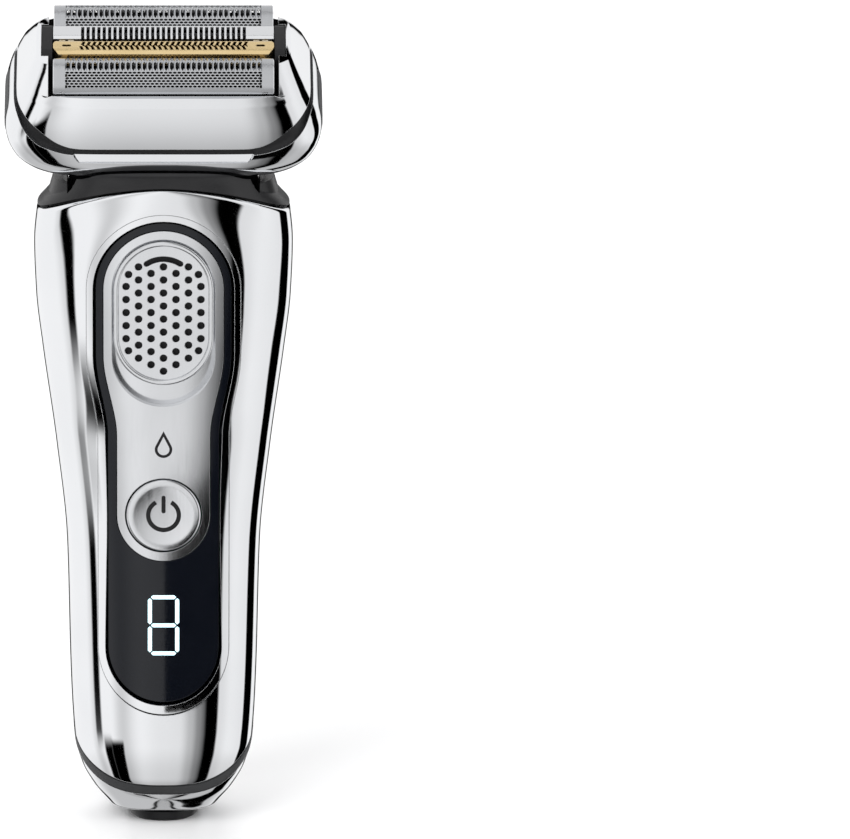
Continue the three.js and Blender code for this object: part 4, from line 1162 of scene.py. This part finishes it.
def build_neck():
    """Black collar between the shells and the head."""
    cap_form = form("cap_form", collar_point, 80, BODY_AROUND)
    cap = copy_of(cap_form, "collar_cap")
    arch = arc(0, ARCH_TOP - ARCH_RADIUS, ARCH_RADIUS + 0.12, ARCH_RADIUS + 0.12, 20, 160, 120)
    arch += [(-FAR, arch[-1][1]), (-FAR, 60), (FAR, 60), (FAR, arch[0][1])]
    under = prism("under_arch", arch, -FAR, FAR, "y")
    rim = cut(body_form(SHELL_THICKNESS + 0.15, 119.5, 129.0, 40), body_form(3.4, 110, 135, 20, 120))
    cut(rim, panel_prism(BEZEL, 0.3))
    cut(cap, under)
    unite(cap, rim)
    cut(cap, forward_swing(), swivel_rod("room", 10.8, -18.6, 18.6),
        block("middle", -18.6, 18.6, -9.9 + BODY_Y, 14.6 + BODY_Y, 122, 160))
    unite(cap, body_form(SHELL_THICKNESS + 0.3, 121.5, 123, 4, 120))
    cut(cap, channel_prism(0.3, 100, 150), prism("seal_hole", circle(0, SWIVEL.y, 6.2), 100, 130, "z"))
    finish_piece(cap, COLLAR, "handle", "black_plastic", "collar", source=cap_form)
    discard(cap_form)


# ---------------------------------------------------------------- head


def head_form(inset=0.0, low=HEAD_BOTTOM, high=HEAD_TOP, rows=110, around=HEAD_AROUND):
    """The head's outer form between two heights."""
    return form("head_form", lambda a, f: head_section(a, low + (high - low) * f, inset), rows, around, HEAD)


def side_of_edge(name, edge, far, shift=0.0):
    """Everything above or below an edge line seen from the front."""
    line = [(-x, h + shift) for x, h in reversed(edge[1:])] + [(x, h + shift) for x, h in edge]
    outline = line + [(line[-1][0], far), (line[0][0], far)]
    return prism(name, soften(outline, len(line)), -40, 40, "y", HEAD)


def soften(outline, count):
    """Rounds the corners of an edge line with short arcs."""
    result = [outline[0]]
    for k in range(1, count - 1):
        before, here, after = Vector(outline[k - 1]), Vector(outline[k]), Vector(outline[k + 1])
        reach = min((before - here).length, (after - here).length) * 0.45
        start = here + (before - here).normalized() * reach
        end = here + (after - here).normalized() * reach
        for step in range(9):
            t = step / 8
            point = start * (1 - t) ** 2 + here * 2 * t * (1 - t) + end * t ** 2
            result.append((point.x, point.y))
    return result + outline[count - 1:]


def release_outline(margin):
    """Side outline of a release button."""
    return rounded(-7.5 - margin, 7.5 + margin, -19.6 - margin, -11.8 + margin, 3)


def underside():
    """What is cut away below the head's rising underside."""
    chin, heel = HEAD_UNDERSIDE
    return prism("underside", [(chin[0], -60), (heel[0], -60), heel, chin], -60, 60, "x", HEAD)


# Along the swivel axis: the lugs, the floors of the release pockets and the backs of the release caps.
LUG_RADIUS, LUG_INNER, LUG_OUTER = 3, 18.9, 20.4
POCKET_FLOOR, CAP_BACK, SIDE_REACH = 25.1, 26.1, 45
RECESS_HALF_WIDTH = 17.5
PIN_HOLE_RADIUS = 1.8
# Section of the thumb recess along the head's front (depth, height).
THUMB_SCOOP = [(-20, -15.8), (-15.3, -15.8), (-15.3, -16.6), (-15.6, -17.6), (-16.3, -18.4), (-17.4, -18.9),
               (-20, -19)]


def build_head_frame():
    """Chrome bowl of the head, a black band in the gap under the cassette's edge, and the release buttons."""
    source = head_form()
    frame_piece = keep_inside(copy_of(source, "head_frame_bowl"), side_of_edge("below", FRAME_EDGE, -60))
    swivel_room = prism("skirt", circle(SWIVEL_IN_HEAD.y, SWIVEL_IN_HEAD.z, 11.2, 64), -LUG_INNER, LUG_INNER,
                        "x", HEAD)
    keep_low = block("low", -40, 40, -40, 40, -60, -16.9, HEAD)
    cut(frame_piece, head_form(2.0, -17.2, 2, 30, 120), keep_inside(swivel_room, keep_low),
        block("floor_hole", -17, 17, -9, 9, -26, -10, HEAD), underside())
    axis_y, axis_z = SWIVEL_IN_HEAD.yz
    for side in (-1, 1):
        low, high = sorted((side * LUG_INNER, side * LUG_OUTER))
        lug = prism("lug", circle(axis_y, axis_z, LUG_RADIUS, 40), low, high, "x", HEAD)
        unite(lug, block("web", low, high, axis_y - LUG_RADIUS, axis_y + LUG_RADIUS, axis_z, -20.5, HEAD))
        unite(frame_piece, lug)
        low, high = sorted((side * POCKET_FLOOR, side * SIDE_REACH))
        cut(frame_piece, prism("pocket", release_outline(0.2), low, high, "x", HEAD))
    half = RECESS_HALF_WIDTH
    ends = prism("recess_ends", rounded(-half, half, -19.2, -12, 3.2, 12), -40, 0, "y", HEAD)
    recess = keep_inside(prism("recess", THUMB_SCOOP, -half - 0.1, half + 0.1, "x", HEAD), ends)
    cut(frame_piece, recess, prism("pin", circle(axis_y, axis_z, PIN_HOLE_RADIUS, 32), -40, 40, "x", HEAD))
    finish_piece(frame_piece, CHROME, "head", "chrome", "head_frame", source=source)

    # A black band set 0.9 in from the head's form, between the frame's edge and the cassette's, so that the gap
    # line there reads dark.
    gap_band = keep_inside(head_form(0.9, -17.1, -2, 60), side_of_edge("gap_band_top", CASSETTE_EDGE, -60, -0.35))
    gap_band.name = "head_gap_band"
    cut(gap_band, head_form(2.6, -17.4, 0, 30, 120))
    finish_piece(gap_band, COLLAR, "head", "black_plastic")

    for side, sign in (("left", -1), ("right", 1)):
        low, high = sorted((sign * CAP_BACK, sign * SIDE_REACH))
        button = prism(f"release_button_{side}_cap", release_outline(0.0), low, high, "x", HEAD)
        keep_inside(button, head_form(-0.08))
        finish_piece(button, DARK_GREY, f"release_{side}", "dark_plastic", f"release_button_{side}")
    discard(source)


def build_cassette():
    """Chrome cassette frame with its side wings, and its black core."""
    source = head_form()
    shell = keep_inside(copy_of(source, "cassette_frame_shell"), side_of_edge("above", CASSETTE_EDGE, 20))
    well = rounded(-WELL_HALF_WIDTH, WELL_HALF_WIDTH, -WELL_DEPTH, WELL_DEPTH, 1.2, 6)
    inside = WELL_DEPTH - 0.01
    cut(shell, prism("well", well, -40, -5.3, "z", HEAD),
        block("window", -WINDOW_HALF_WIDTH, WINDOW_HALF_WIDTH, -40, 40, -5.1, 10, HEAD),
        block("opening", -WINDOW_HALF_WIDTH, WINDOW_HALF_WIDTH, -inside, inside, -6, 0, HEAD),
        block("end_window", -WELL_HALF_WIDTH, WELL_HALF_WIDTH, -5.6, 5.6, -6, 10, HEAD))
    finish_piece(shell, CHROME, "cassette", "chrome", "cassette_frame", source=source)
    discard(source)
    build_core()


# The floating units: depth, half-width of the slot, and where the spring well stands along it.
CORE_UNITS = [(-FOIL_DEPTH, 3.6, 19.7), (TRIMMER_DEPTH, 1.7, -19.7), (GUARD_DEPTH, 1.7, 19.7),
              (FOIL_DEPTH, 3.6, -19.7)]


def build_core():
    """Black floor of the cassette with the floating units' slots, spring wells and end plates."""
    reach, deep = WELL_HALF_WIDTH - 0.15, WELL_DEPTH - 0.15
    core = prism("cassette_core_block", rounded(-reach, reach, -deep, deep, 1.0), -12.2, -8, "z", HEAD)
    for side in (-1, 1):
        low, high = sorted((side * 21.45, side * reach))
        unite(core, prism("end", rounded(-5.5, 5.5, -10, -0.7, 1.6), low, high, "x", HEAD))
    for depth, half, spring in CORE_UNITS:
        cut(core, block("slot", -18.4, 18.4, depth - half, depth + half, -20, 0, HEAD),
            prism("spring_well", circle(spring, depth, 1.6, 24), -11.9, 0, "z", HEAD))
    finish_piece(core, BLACK, "cassette", "black_plastic", "cassette_core")


def sheet_on_arch(x, s, depth, lift=0.0):
    """Place on a foil: x along it, s round its arch from the crest."""
    radius = FOIL_RADIUS + lift
    limit = math.pi / 2 * FOIL_RADIUS
    if abs(s) <= limit:
        angle = s / FOIL_RADIUS
        return Vector((x, depth + radius * math.sin(angle), radius * math.cos(angle) - FOIL_RADIUS))
    side = math.copysign(1, s)
    return Vector((x, depth + side * radius, -FOIL_RADIUS - (abs(s) - limit)))


HOLE_PITCH = 0.86
ROW_PITCH = 0.54
PERFORATED_HALF = 18.92


def foil_cell(points, faces, x, s, width, height, hole_width, hole_height, depth):
    """One cell of the foil: a frame of six quads round a six-sided hole."""
    rim = [(-0.5, -0.5), (0, -0.5), (0.5, -0.5), (0.5, 0.5), (0, 0.5), (-0.5, 0.5)]
    hole = [(-0.5, -0.25), (0, -0.5), (0.5, -0.25), (0.5, 0.25), (0, 0.5), (-0.5, 0.25)]
    base = len(points)
    for u, v in rim:
        points.append(sheet_on_arch(x + u * width, s + v * height, depth))
    for u, v in hole:
        points.append(sheet_on_arch(x + u * hole_width, s + v * hole_height, depth))
    for k in range(6):
        n = (k + 1) % 6
        faces.append((base + k, base + n, base + 6 + n, base + 6 + k))


def plain_strip(points, faces, x_low, x_high, s_low, s_high, depth, steps):
    """An unperforated stretch of foil."""
    base = len(points)
    for k in range(steps + 1):
        s = s_low + (s_high - s_low) * k / steps
        points.append(sheet_on_arch(x_low, s, depth))
        points.append(sheet_on_arch(x_high, s, depth))
    for k in range(steps):
        a = base + 2 * k
        faces.append((a, a + 1, a + 3, a + 2))


SLOT_ZONE = 2.5
SLOT_PITCH = 1.05


def foil_sheet(name, depth):
    """Perforated foil: long slots over the crest, hexagonal holes down the flanks."""
    points, faces = [], []
    columns = int(2 * PERFORATED_HALF / HOLE_PITCH)
    start = -PERFORATED_HALF
    for k in range(int(2 * PERFORATED_HALF / SLOT_PITCH)):
        x = start + (k + 0.5) * SLOT_PITCH
        for s in (-SLOT_ZONE / 2, SLOT_ZONE / 2):
            foil_cell(points, faces, x, s, SLOT_PITCH, SLOT_ZONE, SLOT_PITCH * 0.62, SLOT_ZONE * 0.94, depth)
    rows = 6
    for side in (-1, 1):
        for row in range(rows):
            s = side * (SLOT_ZONE + (row + 0.5) * ROW_PITCH)
            shift = HOLE_PITCH / 2 if row % 2 else 0.0
            for k in range(columns):
                x = start + (k + 0.5) * HOLE_PITCH + shift
                if x + HOLE_PITCH / 2 <= PERFORATED_HALF + 0.01:
                    foil_cell(points, faces, x, s, HOLE_PITCH, ROW_PITCH, HOLE_PITCH * 0.82, ROW_PITCH * 0.86,
                              depth)
    flank = SLOT_ZONE + rows * ROW_PITCH
    lower = math.pi / 2 * FOIL_RADIUS + 1.2
    for side in (-1, 1):
        s_low, s_high = sorted((side * flank, side * lower))
        plain_strip(points, faces, -PERFORATED_HALF, PERFORATED_HALF, s_low, s_high, depth, 4)
    for low, high in ((-FOIL_HALF_LENGTH + 0.2, -PERFORATED_HALF), (PERFORATED_HALF, FOIL_HALF_LENGTH - 0.2)):
        plain_strip(points, faces, low, high, -lower, lower, depth, 40)
    sheet = mesh_object(name, points, faces, HEAD)
    recalculate_up(sheet)
    thick = sheet.modifiers.new("thickness", "SOLIDIFY")
    thick.thickness = 0.13 * MM
    thick.offset = -1
    bake(sheet)
    return sheet


def recalculate_up(obj):
    """Welds the cells and turns the sheet's faces outward."""
    work = bmesh.new()
    work.from_mesh(obj.data)
    bmesh.ops.remove_doubles(work, verts=work.verts, dist=0.004 * MM)
    bmesh.ops.recalc_face_normals(work, faces=work.faces)
    work.to_mesh(obj.data)
    work.free()
    total = sum((p.normal.dot(LIFT) * p.area for p in obj.data.polygons), 0.0)
    if total < 0:
        obj.data.flip_normals()


def arch_outline(depth, radius, foot):
    """Section of a foil's end cap."""
    crown = arc(depth, -FOIL_RADIUS, radius, radius, 0, 180, 24)
    return crown + [(depth - radius, foot), (depth + radius, foot)]


def build_foil(side, sign):
    """One foil unit: perforated sheet, end caps and the chrome rim that carries it."""
    depth = sign * FOIL_DEPTH
    sheet = foil_sheet(f"foil_{side}_sheet", depth)
    finish_piece(sheet, FOIL, f"{side}_foil_unit", "steel", f"foil_{side}")
    rim_outer = rounded(-FOIL_HALF_LENGTH, FOIL_HALF_LENGTH, depth - 4.0, depth + 4.0, 1.2, 8)
    rim_inner = rounded(-19.6, 19.6, depth - 3.4, depth + 3.4, 0.8, 8)
    rim = prism(f"foil_{side}_rim", rim_outer, -5.3, -4.35, "z", HEAD)
    cut(rim, prism("rim_hole", rim_inner, -9, 0, "z", HEAD))
    for end in (-1, 1):
        low, high = sorted((end * 19.5, end * (FOIL_HALF_LENGTH - 0.05)))
        cap = prism("cap", arch_outline(depth, FOIL_RADIUS - 0.12, -5.0), low, high, "x", HEAD)
        merge(rim, cap)
    finish_piece(rim, CHROME, f"{side}_foil_unit", "steel")


def bar_section(depth, top):
    """Section of a narrow unit between the foils."""
    half = [(1.4, -5.7), (2.1, -2.8), (2.1, top - 0.7), (1.75, top - 0.15), (1.3, top)]
    return [(y + depth, z) for y, z in half] + [(depth - y, z) for y, z in reversed(half)]


def build_lift_trimmer():
    """Gold trimmer: two rows of slanted teeth that meet in a zig-zag gap, with solid ends."""
    top = -0.4
    section = bar_section(TRIMMER_DEPTH, top)
    bar = prism("lift_trimmer_bar", section, -FOIL_HALF_LENGTH, FOIL_HALF_LENGTH, "x", HEAD)
    cut(bar, block("room", -19.8, 19.8, TRIMMER_DEPTH - 1.3, TRIMMER_DEPTH + 1.3, -30, top - 0.6, HEAD))
    pitch, count = 1.08, 29
    start = -pitch * count / 2
    lean = 0.35
    zigzag = []
    for k in range(count + 1):
        x = start + k * pitch
        zigzag += [(x, 0.5), (x + pitch * 0.5, -0.02)]
    lower = [(x, y - 0.5) for x, y in reversed(zigzag)]
    outlines = [zigzag + lower]
    for k in range(count + 1):
        x = start + k * pitch
        for low, high, slant in ((0.2, 1.45, lean), (-1.45, -0.2, -lean)):
            left, right = x - 0.26, x + 0.32
            outlines.append([(left, low), (right, low), (right + slant, high), (left + slant, high)])
    outlines += [rounded(x - 0.85, x + 0.85, -0.35, 0.35, 0.3, 4) for x in (-18.7, 18.7)]
    cutters = [prism("tooth_gap", [(x, y + TRIMMER_DEPTH) for x, y in outline], top - 1.5, top + 1, "z", HEAD)
               for outline in outlines]
    cut(bar, *cutters)
    plan = rounded(-FOIL_HALF_LENGTH, FOIL_HALF_LENGTH, TRIMMER_DEPTH - 2.3, TRIMMER_DEPTH + 2.3, 1.9, 8)
    keep_inside(bar, prism("ends", plan, -10, 2, "z", HEAD))
    finish_piece(bar, GOLD, "lift_unit", "gold", "lift_trimmer")


def build_skin_guard():
    """Comb-like guard: upright slots along it and two dark windows at each end."""
    top = -0.5
    section = bar_section(GUARD_DEPTH, top)
    bar = prism("skin_guard_bar", section, -FOIL_HALF_LENGTH, FOIL_HALF_LENGTH, "x", HEAD)
    cut(bar, block("room", -19.2, 19.2, GUARD_DEPTH - 0.9, GUARD_DEPTH + 0.9, -30, top - 0.55, HEAD))
    pitch, count = 1.04, 31
    back = GUARD_DEPTH - 3
    cutters = []
    for k in range(count):
        x = (k - (count - 1) / 2) * pitch
        cutters.append(block("slit", x - 0.3, x + 0.3, back, GUARD_DEPTH + 1.1, top - 1.9, top + 1, HEAD))
    for x in (-19.6, -17.9, 17.9, 19.6):
        cutters.append(block("window", x - 0.6, x + 0.6, back, GUARD_DEPTH - 1.2, top - 1.7, top - 0.9, HEAD))
    cut(bar, *cutters)
    finish_piece(bar, CHROME, "guard_unit", "chrome", "skin_guard")


# ---------------------------------------------------------------- long-hair trimmer


def build_hair_trimmer():
    """Carriage and ribbed thumb piece on the back."""
    carriage = channel_prism(0.0, TRIMMER_BOTTOM, TRIMMER_TOP)
    carriage.name = "trimmer_carriage_case"
    cut(carriage, block("bay", -16, 16, 5, TRIMMER_OUTER + BODY_Y - 1.5, TRIMMER_TOP - 6, TRIMMER_TOP + 1))
    finish_piece(carriage, DARK_GREY, "hair_trimmer", "dark_plastic", "trimmer_carriage")
    face = TRIMMER_OUTER + BODY_Y
    thumb = curve_plate("trimmer_thumb_pad", [rounded(-6.5, 6.5, 91, 102, 3, 12)], 0.9, 0.3)
    thumb.data.transform(Matrix.Translation(Vector((0, face + 0.9, 0)) * MM))
    for k in range(5):
        low = 92.7 + k * 1.7
        rib = prism("thumb_rib", rounded(-5, 5, low, low + 0.9, 0.4, 4), face + 1.2, face + 1.85, "y")
        merge(thumb, rib)
    finish_piece(thumb, BLACK, "hair_trimmer", "black_plastic", "trimmer_thumb")


# ---------------------------------------------------------------- the CAD nodes that stay

KEPT_MATERIALS = {
    "steel": STEEL, "chrome": CHROME, "satin": SATIN, "gold": GOLD, "lens": GLASS, "dark_plastic": DARK_GREY,
    "black_plastic": BLACK, "rubber": RUBBER, "copper": COPPER, "board": BOARD, "cell": CELL,
}
# The blades, which get the near-black metal of painted shade.
BLADES = ("cutter_front", "cutter_rear", "lift_blade", "guard_blade")


def dress_cad_nodes():
    """Gives every CAD node that still shows its material; the blades get a near-black metal, painted shade for
    the dark under the foils and combs.
    """
    slots = {part["node"]: part["material_slot"] for part in frame["record"]["subparts"]}
    for node, obj in frame["nodes"].items():
        material = BLADE_PAINTED_SHADE_METAL if node in BLADES else KEPT_MATERIALS[slots[node]]
        obj.data.materials.clear()
        obj.data.materials.append(material)


add_camera()
add_studio()
add_lights()
add_flag()
add_floor()
dress_cad_nodes()
build_shells()
build_panel()
build_button()
build_slider()
build_display()
build_marks()
build_base()
build_neck()
build_head_frame()
build_cassette()
build_foil("front", -1)
build_foil("rear", 1)
build_lift_trimmer()
build_skin_guard()
build_hair_trimmer()
